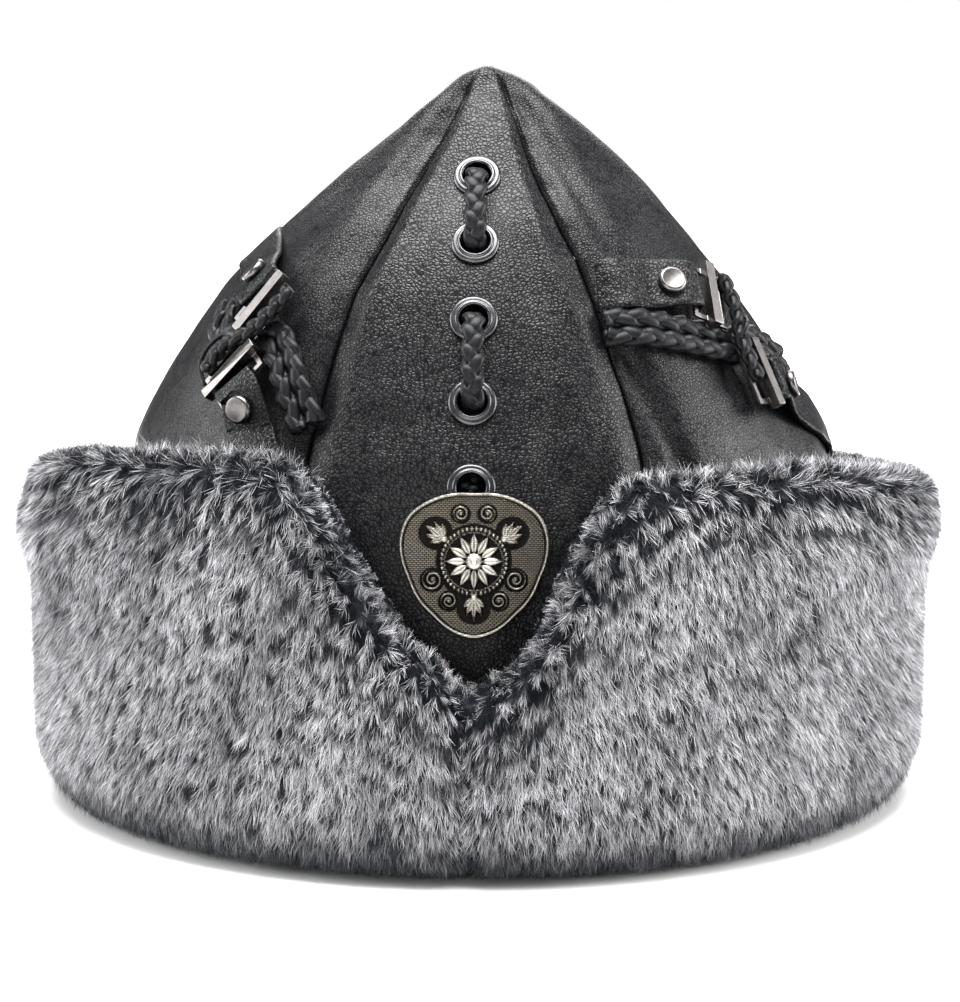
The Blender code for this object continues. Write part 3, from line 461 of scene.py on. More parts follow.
def front_angle(height, x=FRONT_LINE):
    """The angle round the crown, at a height, of a point at x on its front."""
    half_width, _, _, shift = read_crown(height)
    return math.degrees(math.asin((x - shift) / half_width))


def seam_angle(number, height):
    """The angle of a seam at a height. The first seam follows the last."""
    low, tip, _ = SEAMS[number % len(SEAMS)]
    return low + (tip - low) * smooth((height - SEAM_TURN[0]) / (SEAM_TURN[1] - SEAM_TURN[0]))


def arc_per_degree(angle, height):
    return np.linalg.norm(crown_point(angle + 0.5, height) - crown_point(angle - 0.5, height), axis=-1)


def wave(points, size, seed):
    """Soft lumps between -1 and 1 with the given size in millimetres: a sum of turned sine waves."""
    local = np.random.default_rng(seed)
    total = 0.0
    for _ in range(6):
        way = unit(local.normal(size=3)) * local.uniform(0.7, 1.4) * 2 * math.pi / size
        total = total + np.sin(points @ way + local.uniform(0, 2 * math.pi))
    return total / 3.0


def spline(points, count):
    """Points evenly spaced along a smooth curve through given points of any dimension."""
    points = np.array(points, float)
    padded = np.vstack([2 * points[0] - points[1], points, 2 * points[-1] - points[-2]])
    fine = []
    for i in range(len(points) - 1):
        a, b, c, d = padded[i : i + 4]
        for t in np.linspace(0, 1, 24, endpoint=False):
            bend = (2 * a - 5 * b + 4 * c - d) * t * t + (3 * b - a - 3 * c + d) * t**3
            fine.append(0.5 * (2 * b + (c - a) * t + bend))
    fine = np.array(fine + [points[-1]])
    lengths = travelled(fine)
    wanted = np.linspace(0, lengths[-1], count)
    return np.stack([np.interp(wanted, lengths, fine[:, k]) for k in range(fine.shape[1])], 1)


def travelled(path):
    """How far along a path each of its points lies."""
    return np.concatenate([[0], np.cumsum(np.linalg.norm(np.diff(path, axis=0), axis=1))])


def add_object(name, data):
    item = bpy.data.objects.new(name, data)
    bpy.context.scene.collection.objects.link(item)
    return item


def add_piece(mesh, slot, material, *nodes):
    """Adds a mesh as a piece of the hat, under its own name, that stands for the named CAD nodes."""
    item = add_object(mesh.name, mesh)
    item.data.materials.append(material)
    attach(item, "root")
    if nodes:
        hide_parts(*nodes)
    return item


def mesh_from(name, points, faces):
    """A mesh from arrays: points in millimetres, and faces that all have the same number of corners."""
    mesh = bpy.data.meshes.new(name)
    points = np.ascontiguousarray(np.reshape(points, (-1, 3)) * MM, dtype=np.float32)
    faces = np.ascontiguousarray(faces, dtype=np.int32)
    count, corners = faces.shape
    mesh.vertices.add(len(points))
    mesh.vertices.foreach_set("co", points.ravel())
    mesh.loops.add(count * corners)
    mesh.loops.foreach_set("vertex_index", faces.ravel())
    mesh.polygons.add(count)
    mesh.polygons.foreach_set("loop_start", np.arange(0, count * corners, corners, dtype=np.int32))
    mesh.polygons.foreach_set("use_smooth", np.full(count, True))
    mesh.update(calc_edges=True)
    return mesh


def reshaped(mesh, *changes):
    """The mesh after some changes, each a function of its bmesh."""
    shape = bmesh.new()
    shape.from_mesh(mesh)
    for change in changes:
        change(shape)
    shape.to_mesh(mesh)
    shape.free()
    return mesh


def face_outwards(shape):
    bmesh.ops.recalc_face_normals(shape, faces=shape.faces)


def close_ends(shape):
    bmesh.ops.holes_fill(shape, edges=shape.edges, sides=0)


def weld_points(shape):
    bmesh.ops.remove_doubles(shape, verts=shape.verts, dist=0.000001)


def colour_points(mesh, name, colours):
    """Holds a colour for each point of a mesh, under a name that its material reads."""
    attribute = mesh.color_attributes.new(name, "FLOAT_COLOR", "POINT")
    attribute.data.foreach_set("color", colours.astype(np.float32).ravel())


def grid_faces(rows, columns, wrap=False):
    """Faces of a grid of rows by columns of points, optionally closed round its columns."""
    r, c = np.meshgrid(np.arange(rows - 1), np.arange(columns if wrap else columns - 1), indexing="ij")
    after = (c + 1) % columns
    low, high = r * columns, (r + 1) * columns
    return np.stack([low + c, low + after, high + after, high + c], -1).reshape(-1, 4)


def apply_modifiers(item):
    """Bakes an object's modifiers into its mesh."""
    graph = bpy.context.evaluated_depsgraph_get()
    made = bpy.data.meshes.new_from_object(item.evaluated_get(graph))
    item.modifiers.clear()
    old = item.data
    item.data = made
    bpy.data.meshes.remove(old)
    made.name = item.name


class Nodes:
    """Adds shader nodes to a tree. Where a node is given a value, it may also be given a socket."""

    def __init__(self, tree):
        self.tree = tree

    @cached_property
    def place(self):
        """Object coordinates in metres."""
        return self.node("ShaderNodeTexCoord", {})["Object"]

    def feed(self, socket, value):
        """Gives a socket a value, or links it to another socket."""
        if isinstance(value, bpy.types.NodeSocket):
            self.tree.links.new(value, socket)
        else:
            socket.default_value = value

    def node(self, kind, inputs, **settings):
        """Adds a node with inputs by name or number and settings by keyword, and returns its outputs."""
        made = self.tree.nodes.new(kind)
        for key, value in settings.items():
            setattr(made, key, value)
        for key, value in inputs.items():
            self.feed(made.inputs[key], value)
        return made.outputs

    def attribute(self, name, output):
        return self.node("ShaderNodeAttribute", {}, attribute_name=name)[output]

    def maths(self, operation, first, second):
        return self.node("ShaderNodeMath", {0: first, 1: second}, operation=operation)[0]

    def times(self, first, second):
        return self.maths("MULTIPLY", first, second)

    def noise(self, size, detail=2.0, roughness=0.5, output="Fac"):
        """Noise whose lumps have the given size in millimetres."""
        inputs = {"Vector": self.place, "Scale": 1000.0 / size, "Detail": detail, "Roughness": roughness}
        return self.node("ShaderNodeTexNoise", inputs)[output]

    def span(self, value, from_low, from_high, to_low=0.0, to_high=1.0):
        """A value moved softly from one range to another."""
        names = ("Value", "From Min", "From Max", "To Min", "To Max")
        inputs = dict(zip(names, (value, from_low, from_high, to_low, to_high)))
        return self.node("ShaderNodeMapRange", inputs, interpolation_type="SMOOTHSTEP")["Result"]

    def between(self, factor, low, high):
        """A colour between two, by a factor. The low one may be a socket."""
        low = low if isinstance(low, bpy.types.NodeSocket) else (*low, 1.0)
        return self.node("ShaderNodeMix", {"Factor": factor, 6: low, 7: (*high, 1.0)}, data_type="RGBA")[2]


class Look(Nodes):
    """A material in the making, and its shader."""

    def __init__(self, name, roughness, metallic=0.0):
        self.material = bpy.data.materials.new(name)
        self.material.use_nodes = True
        super().__init__(self.material.node_tree)
        self.shader = self.tree.nodes["Principled BSDF"]
        self.give("Roughness", roughness)
        self.give("Metallic", metallic)

    def give(self, name, value):
        self.feed(self.shader.inputs[name], value)

    def paint(self, factor, low, high):
        """Colours the shader between two colours, by a factor."""
        self.give("Base Color", self.between(factor, low, high))

    def roughen(self, height, strength, depth):
        """Gives the shader the bumps of a height, with a depth in millimetres."""
        inputs = {"Strength": strength, "Distance": depth * MM, "Height": height}
        self.give("Normal", self.node("ShaderNodeBump", inputs)["Normal"])


def leather_material(name, pebble, depth, roughness):
    """Pebbled leather, dull between its pebbles, with painted shade darkening its colour in the creases
    between them. Pebble size and depth are millimetres.
    """
    look = Look(name, roughness)
    drift = {0: look.noise(pebble * 2.2, output="Color"), "Scale": pebble * MM * 1.1}
    drift = look.node("ShaderNodeVectorMath", drift, operation="SCALE")[0]
    warped = look.node("ShaderNodeVectorMath", {0: look.place, 1: drift}, operation="ADD")[0]
    cells = {"Vector": warped, "Scale": 1000.0 / pebble, "Randomness": 0.9}
    edges = look.node("ShaderNodeTexVoronoi", cells, feature="DISTANCE_TO_EDGE")["Distance"]
    domes = look.span(edges, 0.0, 0.36)
    broad = look.noise(pebble * 12.0)
    swell = look.times(domes, look.span(broad, 0.3, 0.7, 0.6, 1.0))
    fine = look.times(look.noise(pebble * 0.4), 0.12)
    look.roughen(look.maths("ADD", swell, fine), 1.0, depth)
    # Painted shade: the colour darkens into the creases between the pebbles, multiplied by a random broad
    # tone
    tone = look.times(look.span(domes, 0.1, 1.0, 0.5, 1.0), look.span(broad, 0.3, 0.75, 0.7, 1.0))
    look.paint(tone, LEATHER_DARK, LEATHER_LIGHT)
    look.give("Roughness", look.span(look.noise(pebble * 4.0), 0.3, 0.7, roughness - 0.05, roughness + 0.06))
    look.give("Specular IOR Level", LEATHER_SHINE)
    look.give("Specular IOR Level", look.span(domes, 0.0, 0.4, LEATHER_SHINE * 0.25, LEATHER_SHINE))
    return look.material


def cord_material():
    """Smooth cut leather strands with a fine uneven grain."""
    look = Look("cord_leather", 0.42)
    fine = look.noise(0.7, 3.0)
    look.roughen(fine, 0.5, 0.08)
    tone = look.times(look.span(fine, 0.3, 0.75, 0.4, 1.0), look.span(look.noise(6.0), 0.3, 0.7, 0.5, 1.0))
    look.paint(tone, CORD_DARK, CORD_LIGHT)
    look.give("Specular IOR Level", CORD_SHINE)
    return look.material


def inside_material():
    """The unseen inner face: plain dark suede."""
    look = Look("suede", 0.95)
    nap = look.noise(0.6, 4.0)
    look.roughen(nap, 0.6, 0.12)
    look.paint(look.times(nap, look.span(look.noise(14.0), 0.3, 0.7, 0.6, 1.0)), SUEDE_DARK, SUEDE_LIGHT)
    return look.material


def metal_material(name, colour, dark):
    """Dull polished metal, with fine scratches and darker patches."""
    look = Look(name, METAL_ROUGHNESS, 1.0)
    look.paint(look.span(look.noise(3.0, 4.0, 0.6), 0.25, 0.75), dark, colour)
    fine = look.noise(1.2, 3.0)
    gloss = (METAL_ROUGHNESS - METAL_WEAR, METAL_ROUGHNESS + METAL_WEAR)
    look.give("Roughness", look.span(fine, 0.3, 0.7, *gloss))
    look.roughen(fine, 0.2, 0.004)
    return look.material


def cast_material():
    """Antique cast metal: black in its hollows, dark bronze on the ruled ground, bright where it's rubbed."""
    look = Look("pewter", 0.36, 1.0)
    relief = look.attribute("relief", "Fac")
    tones = {name: (tone, tone, tone, 1.0) for name, tone in HATCH_TONES.items()}
    hatch = {"Vector": look.attribute("flat_place", "Vector"), "Scale": 1.0, **HATCH, **tones}
    ruled = look.node("ShaderNodeTexBrick", hatch)["Color"]
    patches = look.span(look.noise(2.4, 4.0, 0.6), 0.25, 0.6, 0.55, 1.0)
    ground = look.between(look.times(look.span(relief, 0.05, 0.25), ruled), CAST_HOLLOW, CAST_GROUND)
    look.paint(look.times(look.span(relief, 0.42, 0.9), patches), ground, CAST_HIGH)
    look.give("Roughness", look.span(look.noise(0.3, 3.0), 0.3, 0.7, 0.30, 0.44))
    look.roughen(ruled, 0.6, 0.08)
    return look.material


def pile_material():
    """Pile whose colour runs from root to tip, held on the strands themselves."""
    look = Look("pile", 0.6)
    look.give("Base Color", look.attribute("pile", "Color"))
    look.give("Specular IOR Level", PILE_SHINE)
    return look.material


def under_fur_material():
    """The dark, dense wool under the pile."""
    look = Look("under_fur", 0.95)
    look.give("Specular IOR Level", PILE_SHINE)
    tufts = look.noise(2.2, 4.0, 0.65)
    look.roughen(tufts, 1.0, 0.8)
    look.paint(look.span(tufts, 0.35, 0.7), UNDER_DARK, UNDER_LIGHT)
    return look.material


def seam_relief(angle, height):
    """How far the seams and folds lie from the puffed form, out being positive."""
    per_degree = arc_per_degree(angle, height)
    depth = np.zeros_like(per_degree)
    for number in range(len(SEAMS)):
        away = wrapped(angle - seam_angle(number, height)) * per_degree
        pucker = np.sin(height * PUCKER_WAVES[0] + number * 2.1) * np.sin(height * PUCKER_WAVES[1] + number)
        sunk = read_valley(height)[..., 0] + PUCKER * pucker * smooth(height / 60)
        depth -= bell(away, VALLEY_WIDTH) * sunk
    for top_angle, top, low_angle, low, fold_depth, half_width in FOLDS:
        share = (top - height) / (top - low)
        away = wrapped(angle - top_angle - (low_angle - top_angle) * share) * per_degree
        fade = smooth(share * 3 + 0.6) * smooth((1 - share) * 3 + 0.6)
        depth += fold_depth * fade * bell(away, half_width)
    return depth


def leather_relief(angle, height, points, to_edge):
    """The seams and folds with the leather's soft lumps, its edges curling in where it is sewn."""
    clear_front = smooth((np.abs(points[..., 0] - FRONT_LINE) - 7.0) / 8.0)
    clear_front = np.where(points[..., 1] < 0, clear_front, 1.0)
    lumps = 0.0
    for size, rise, seed in LUMPS:
        lumps = lumps + rise * (wave(points, size, seed) - 1.0)
    curl_depth, curl_reach = EDGE_CURL
    curl = curl_depth * bell(to_edge, curl_reach) * smooth((CROWN_TOP - 0.3 - height) / 6.0)
    return seam_relief(angle, height) + lumps * clear_front * smooth((CROWN_TOP - 0.6 - height) / 20.0) - curl


def gore_points(number):
    """The outer face of the gore after a seam as a fine grid, its edges turned in at the seams."""
    up = 1 - (1 - np.linspace(0, 1, GORE_ROWS)) ** TIP_CROWDING
    heights = CROWN_FOOT + (CROWN_TOP - CROWN_FOOT) * up
    start, end = seam_angle(number, heights), seam_angle(number + 1, heights)
    end = np.where(end < start, end + 360.0, end)
    start = start + SEAM_GAP / 2 / arc_per_degree(start, heights)
    end = end - SEAM_GAP / 2 / arc_per_degree(end, heights)
    line = np.linspace(-1, 1, GORE_COLUMNS)
    share = (1 - EDGE_CROWDING) * line + EDGE_CROWDING * np.sin(line * math.pi / 2)
    angle = (start + end)[:, None] / 2 + share[None, :] * (end - start)[:, None] / 2
    height = np.repeat(heights[:, None], GORE_COLUMNS, 1)
    to_edge = (1 - np.abs(share))[None, :] * (end - start)[:, None] / 2 * arc_per_degree(angle, height)
    relief = leather_relief(angle, height, crown_point(angle, height), to_edge)
    return on_crown(angle, height, relief)


def make_gores(leather, coarse_leather, suede):
    for number, (_, _, part) in enumerate(SEAMS):
        mesh = mesh_from(f"crown_{part}", gore_points(number), grid_faces(GORE_ROWS, GORE_COLUMNS))
        grain = coarse_leather if part == "front" else leather
        gore = add_piece(mesh, "leather", grain, f"gore_{part}")
        gore.data.materials.append(suede)
        wall = gore.modifiers.new("wall", "SOLIDIFY")
        wall.thickness = LEATHER * MM
        wall.offset = -1.0
        wall.material_offset = 1
        wall.material_offset_rim = 0
        if part == "front":
            cut_eyelet_holes(gore)
        else:
            apply_modifiers(gore)


def make_punch(shape):
    """A short round bar that cuts an eyelet's hole."""
    size = {"radius1": EYELET_CUT * MM, "radius2": EYELET_CUT * MM, "depth": 14 * MM}
    bmesh.ops.create_cone(shape, cap_ends=True, segments=40, **size)


def cut_eyelet_holes(gore):
    cutters = []
    for height in EYELET_HEIGHTS:
        cutter = add_object("cutter", reshaped(bpy.data.meshes.new("cutter"), make_punch))
        cutter.matrix_world = frame_at(front_angle(height), height, 0.0)
        cut = gore.modifiers.new("hole", "BOOLEAN")
        cut.operation = "DIFFERENCE"
        cut.solver = "EXACT"
        cut.object = cutter
        cutters.append(cutter)
    bpy.context.view_layer.update()
    apply_modifiers(gore)
    for cutter in cutters:
        bpy.data.objects.remove(cutter)


def base_rim(angle):
    """Height of the rim that the pile's base is shaped to."""
    return (read_rim(wrapped(angle)) - read_inset(wrapped(angle)))[..., 0]


def cuff_outer(angle, height):
    """The tips of the pile, fuller low down at each side."""
    half_width, front, back = np.moveaxis(read_cuff(height), -1, 0)
    at_side = bell(np.abs(wrapped(angle)) - 90.0, 45.0) * smooth((92.0 - height) / 16.0)
    bulge = np.where(wrapped(angle) < 0, LEFT_BULGE, RIGHT_BULGE) * at_side
    return oval(angle, height, half_width + bulge, front, back)


def cuff_inner(angle, height):
    """The backing: it follows the crown low down and stands off it higher up."""
    half_width, front, back, _ = np.moveaxis(read_crown(height), -1, 0)
    hugging = oval(angle, height, half_width + BACKING_OFF, front + BACKING_OFF, back + BACKING_OFF)
    standing = oval(angle, height, *np.moveaxis(read_cuff(height) - CUFF_TOP_THICKNESS, -1, 0))
    share = smooth((height - 50.0) / 45.0)[..., None]
    return hugging * (1 - share) + standing * share


def cuff_form(angle):
    """The band's outer form as sections side by side, from its foot up the backing, over the rim and down.

    Returns points by section row and column, and the row at the top of the rim.
    """
    rim = base_rim(angle)
    round_start = rim - CUFF_TOP_THICKNESS * RIM_ROUNDING
    rows = [cuff_inner(angle, round_start * share) for share in np.linspace(0.02, 0.95, BACKING_ROWS)]
    inner_top = cuff_inner(angle, round_start)
    outer_top = cuff_outer(angle, round_start)
    middle, reach = (inner_top + outer_top) / 2, (outer_top - inner_top) / 2
    for turn in np.radians(np.linspace(180, 0, RIM_ROWS)):
        point = middle + reach * math.cos(turn)
        point[..., 2] = round_start + (rim - round_start) * math.sin(turn)
        rows.append(point)
    for share in np.linspace(0, 1, OUTSIDE_ROWS + 1)[1:]:
        rows.append(cuff_outer(angle, round_start + (CUFF_CORNER - round_start) * share))
    outwards = unit((outer_top - inner_top) * (1, 1, 0))
    outer_foot, inner_foot = cuff_outer(angle, 0.0 * angle), cuff_inner(angle, 0.0 * angle)
    for turn in np.radians(np.linspace(0, 90, CORNER_ROWS + 1))[1:]:
        point = outer_foot - outwards * CUFF_CORNER * (1 - math.cos(turn))
        point[..., 2] = CUFF_CORNER * (1 - math.sin(turn))
        rows.append(point)
    last = rows[-1]
    for share in (0.25, 0.6, 1.0):
        rows.append(last * (1 - share) + inner_foot * share)
    return np.stack(rows), BACKING_ROWS + RIM_ROWS // 2


def surface_axes(points):
    """Unit vectors on a grid that is closed round its columns: onwards, along its rows, and out."""
    onwards = unit(np.roll(points, -1, axis=1) - np.roll(points, 1, axis=1))
    along = unit(np.gradient(points, axis=0))
    out = unit(np.cross(along, onwards))
    return onwards, along, out


def nearest_tuft(across, down, size, seed):
    """Offsets from each place to the nearest tuft centre, and that tuft's own random number."""
    table = np.random.default_rng(seed).random((TUFT_TABLE, TUFT_TABLE, 3))
    place = np.stack([across, down], 1)
    cell = np.floor(place / size).astype(int)
    best = np.full(len(across), 1e9)
    offset = np.zeros((len(across), 2))
    tone = np.zeros(len(across))
    for step in ((-1, -1), (-1, 0), (-1, 1), (0, -1), (0, 0), (0, 1), (1, -1), (1, 0), (1, 1)):
        near = cell + step
        entry = table[near[:, 0] % TUFT_TABLE, near[:, 1] % TUFT_TABLE]
        gap = place - (near + entry[:, :2]) * size
        distance = np.hypot(gap[:, 0], gap[:, 1])
        closer = distance < best
        best = np.where(closer, distance, best)
        offset[closer] = gap[closer]
        tone[closer] = entry[closer, 2]
    return offset, tone


class Cuff:
    """The base of the fur band, and what is known at each point of its grid."""

    def __init__(self):
        self.angles = np.linspace(0, 360, CUFF_COLUMNS, endpoint=False)
        form, self.top_row = cuff_form(self.angles)
        self.onwards, self.along, self.out = surface_axes(form)
        rows = np.arange(len(form))
        outer = smooth((rows - self.top_row + 9) / 7.0)[:, None] * np.ones(CUFF_COLUMNS)
        steps = np.linalg.norm(np.diff(form, axis=0), axis=-1)
        self.length = np.vstack([np.zeros(CUFF_COLUMNS), np.cumsum(steps, axis=0)])
        self.length -= self.length[self.top_row]
        rim = base_rim(self.angles)
        per_column = np.linalg.norm(np.roll(form, -1, axis=1) - form, axis=-1)[self.top_row + 10]
        self.rise = (np.roll(rim, -1) - np.roll(rim, 1)) / (2 * per_column)
        self.from_rim = np.abs(self.length) / np.sqrt(1 + self.rise**2)
        near_rim = 1 - smooth(self.from_rim / 20.0)
        below_notch = smooth((self.length - 6.0) / 10.0)
        self.seam = bell(wrapped(self.angles) * CUFF_ARC, CUFF_SEAM)[None, :] * below_notch
        depth = PILE_DEPTH + (RIM_PILE_DEPTH - PILE_DEPTH) * near_rim + SEAM_PILE_DEPTH * self.seam
        depth = depth * outer * (0.15 + 0.85 * smooth(form[..., 2] / 12.0))
        self.base = form - self.out * depth[..., None]
        self.base[..., 2] = np.maximum(self.base[..., 2], STRAND_FLOOR[0])

    def sample(self, count, quarter, local):
        """Random places on the outer part of a quarter of the base, evenly spread over its area."""
        first, last = self.top_row - 7, len(self.base) - 2
        columns = np.nonzero((self.angles >= 90.0 * quarter) & (self.angles < 90.0 * (quarter + 1)))[0]
        corner = self.base[first:last, :]
        over = self.base[first + 1 : last + 1, :]
        across = np.linalg.norm(np.roll(corner, -1, axis=1) - corner, axis=-1)
        area = (across * np.linalg.norm(over - corner, axis=-1))[:, columns]
        chance = (area / area.sum()).ravel()
        cells = local.choice(len(chance), size=count, p=chance)
        row = first + cells // len(columns)
        column = columns[cells % len(columns)]
        u, v = local.random(count), local.random(count)
        return row, column, u, v

    def read(self, values, row, column, u, v):
        """Values of a grid at places between its points."""
        after = (column + 1) % CUFF_COLUMNS
        if values.ndim == 3:
            u, v = u[:, None], v[:, None]
        low = values[row, column] * (1 - u) + values[row, after] * u
        high = values[row + 1, column] * (1 - u) + values[row + 1, after] * u
        return low * (1 - v) + high * v


class Roots:
    """Random places on the base where strands stand, and what shapes and colours the strands there."""

    def __init__(self, cuff, count, quarter, local):
        where = cuff.sample(count, quarter, local)
        _, column, u, _ = where
        self.point, self.from_rim, self.length, self.seam = (
            cuff.read(values, *where) for values in (cuff.base, cuff.from_rim, cuff.length, cuff.seam)
        )
        self.out, self.onwards, self.down = (
            unit(cuff.read(values, *where)) for values in (cuff.out, cuff.onwards, cuff.along)
        )
        self.rise = cuff.rise[column]
        angle = cuff.angles[column] + u * 360.0 / CUFF_COLUMNS
        self.side = np.sign(wrapped(angle))
        self.off_front = np.abs(wrapped(angle))
        self.near_rim = 1 - smooth(self.from_rim / 30.0)
        self.in_notch = smooth((NOTCH_REACH[0] - self.off_front) / NOTCH_REACH[1])
        self.notch = self.in_notch * (1 - smooth((self.from_rim - 8.0) / 14.0))
        across = angle * CUFF_ARC
        self.tuft, self.tone = nearest_tuft(across, self.length, TUFT_SIZE, 31)
        self.big_tuft, self.big_tone = nearest_tuft(across, self.length * 0.75, BIG_TUFT_SIZE, 32)
        self.dark = self.dark_places()

    def dark_places(self):
        """Where the pile parts and shows its dark roots: flecks, blots, and gaps along the rim."""
        flecks = smooth((wave(self.point * (1.1, 1.1, 0.45), 2.5, 43) - 0.40) / 0.3)
        blots = smooth((wave(self.point * (1.1, 1.1, 0.6), 4.6, 45) - 0.72) / 0.25)
        gaps = smooth((wave(self.point * (0.9, 0.9, 1.2), 4.6, 44) + 0.24) / 0.35)
        rim_band = 1 - smooth((self.from_rim - 18.0) / 18.0)
        return np.maximum(np.maximum(flecks * 0.85, blots * 0.7), gaps * rim_band)

    def along(self, turn):
        """Unit vectors along the base, turned from onwards towards down."""
        return self.onwards * np.cos(turn)[:, None] + self.down * np.sin(turn)[:, None]

    def combing(self):
        """The way the pile is combed: down, away from the front seam, and up towards the rim close to it."""
        steep = 1 / np.sqrt(1 + self.rise**2)
        to_rim = -self.rise[:, None] * steep[:, None] * self.onwards - steep[:, None] * self.down
        lean = 0.05 * self.side * smooth(self.off_front / 12.0) * smooth((150 - self.off_front) / 40)
        seam_push = 0.9 * self.side * bell(self.off_front * CUFF_ARC, 9.0) * smooth((self.length - 10) / 12.0)
        swirl = 0.45 * wave(self.point, 24.0, 21) + 0.35 * wave(self.point, 7.0, 22)
        combed = unit(self.down + self.onwards * (lean - seam_push * 0.4 + swirl * 0.14)[:, None])
        clear_of_rim = smooth((self.from_rim - 4.0) / 14.0)[:, None]
        rim_share = ((1 - smooth(self.from_rim / 18.0)) * (1 - 0.6 * self.notch))[:, None]
        outer_side = smooth((self.length + 4.0) / 8.0)[:, None]
        return (combed * clear_of_rim + to_rim * rim_share * 0.12) * outer_side

    def sizes(self, random):
        """Length of each strand."""
        size = PILE_LENGTH * (0.80 + 0.35 * random) * (1 - 0.25 * self.seam) * (0.80 + 0.35 * self.tone)
        size = size * (1 + 0.15 * self.near_rim) * (1 - 0.25 * self.notch) * (1 - 0.35 * self.dark)
        return size * (1 - 0.75 * self.in_notch * smooth((-1.5 - self.length) / 3.0))

    def tones(self, random):
        """How light each strand's tip is, from 0 to about 1. This includes painted light on the right-hand
        side, and painted shade towards the foot and in the notch.
        """
        point = self.point
        light = 0.82 + 0.12 * wave(point, 40.0, 41) + 0.10 * wave(point, 13.0, 42)
        # Painted light: tips a little lighter on the right-hand side (+X), where the key light falls more
        # strongly
        light = light + 0.05 * smooth(point[:, 0] / 60.0)
        light = light * (0.88 + 0.25 * self.tone) * (0.92 + 0.16 * self.big_tone)
        light = light * (1 - 0.45 * smooth((0.20 - self.tone) / 0.1)) * (1 - self.dark)
        # Painted shade: tips much darker towards the foot of the cuff near the floor, and a little darker in
        # the recess of the notch
        light = light * (1 - 0.70 * smooth((22.0 - point[:, 2]) / 22.0)) * (1 - 0.10 * self.notch)
        light = light * (1 - 0.04 * smooth((28.0 - self.from_rim) / 14.0))
        return np.clip(light * (0.70 + 0.60 * random), 0.0, 1.2)


def make_strands(cuff, quarter, bent, straight, material):
    """Pile of a quarter of the cuff as thin tapered blades, drawn together into tufts."""
    local = np.random.default_rng(FUR_SEED + quarter)
    count = bent + straight
    roots = Roots(cuff, count, quarter, local)
    near_rim = roots.near_rim
    comb = roots.combing()
    own = roots.along(2 * math.pi * (roots.tone * 7.0 % 1))
    shared = roots.along(2 * math.pi * (roots.big_tone * 11.0 % 1))
    stray = own * OWN_WAY + shared * (SHARED_WAY[0] + SHARED_WAY[1] * near_rim)[:, None]
    lift = 0.95 + 0.05 * near_rim + 0.2 * wave(roots.point, 6.0, 23)
    jitter = local.normal(size=(count, 3)) * CHANCE
    first = unit(roots.out * lift[:, None] + comb * COMBING + stray + jitter)
    sag = np.array((0, 0, 0.1))
    second = unit(roots.out * (lift * 0.45)[:, None] + comb + stray * 1.6 + jitter * 1.3 - sag)
    drawn = roots.tuft * DRAWN + roots.big_tuft * (BIG_DRAWN[0] + BIG_DRAWN[1] * near_rim)[:, None]
    pull = -(roots.onwards * drawn[:, :1] + roots.down * drawn[:, 1:])
    half = (roots.sizes(local.random(count)) / 2)[:, None]
    middle = roots.point + first * half + pull * 0.35
    tip = middle + second * half + pull * 0.65
    floor = STRAND_FLOOR[0] + STRAND_FLOOR[1] * local.random(count)
    middle[:, 2] = np.maximum(middle[:, 2], floor)
    tip[:, 2] = np.maximum(tip[:, 2], floor)
    twist = local.normal(size=(count, 3)) * 0.35
    width = STRAND_WIDTH * (0.7 + 0.6 * local.random(count))
    wide = unit(np.cross(first, roots.out + twist)) * width[:, None] / 2
    tone = roots.tones(local.random(count))
    mesh = blades_mesh(f"fur_{FUR_PARTS[quarter]}", roots.point, middle, tip, wide, tone, bent)
    add_piece(mesh, "fur", material)


def blades_mesh(name, root, middle, tip, wide, tone, bent):
    """Thin tapered blades coloured from root to tip, the first ones bent in the middle."""
    base = np.stack([root - wide, root + wide], 1)
    knee = np.stack([middle - wide * 0.8, middle + wide * 0.8], 1)[:bent]
    bent_points = np.concatenate([base[:bent], knee, tip[:bent, None]], 1)
    straight_points = np.concatenate([base[bent:], tip[bent:, None]], 1)
    start = np.arange(bent)[:, None, None] * 5
    bent_faces = start + np.array(((0, 1, 3), (0, 3, 2), (2, 3, 4)))
    start = bent * 5 + np.arange(len(root) - bent)[:, None] * 3
    straight_faces = start + np.array((0, 1, 2))
    points = np.concatenate([bent_points.reshape(-1, 3), straight_points.reshape(-1, 3)])
    mesh = mesh_from(name, points, np.concatenate([bent_faces.reshape(-1, 3), straight_faces]))
    bent_tone = tone[:bent, None] * (0, 0, KNEE_TONE, KNEE_TONE, 1)
    straight_tone = tone[bent:, None] * (0, 0, 1)
    colour_points(mesh, "pile", pile_colour(np.concatenate([bent_tone.ravel(), straight_tone.ravel()])))
    return mesh


def pile_colour(grey):
    """Colours from root through middle to tip for values from 0 to 1."""
    root, middle, tip = np.array(PILE_ROOT), np.array(PILE_MIDDLE), np.array(PILE_TIP)
    low = np.clip(grey / KNEE_TONE, 0, 1)[:, None]
    high = np.clip((grey - KNEE_TONE) / (1 - KNEE_TONE), 0, 1.2)[:, None]
    colour = root + (middle - root) * low + (tip - middle) * high
    return np.concatenate([colour, np.ones((len(grey), 1))], 1)


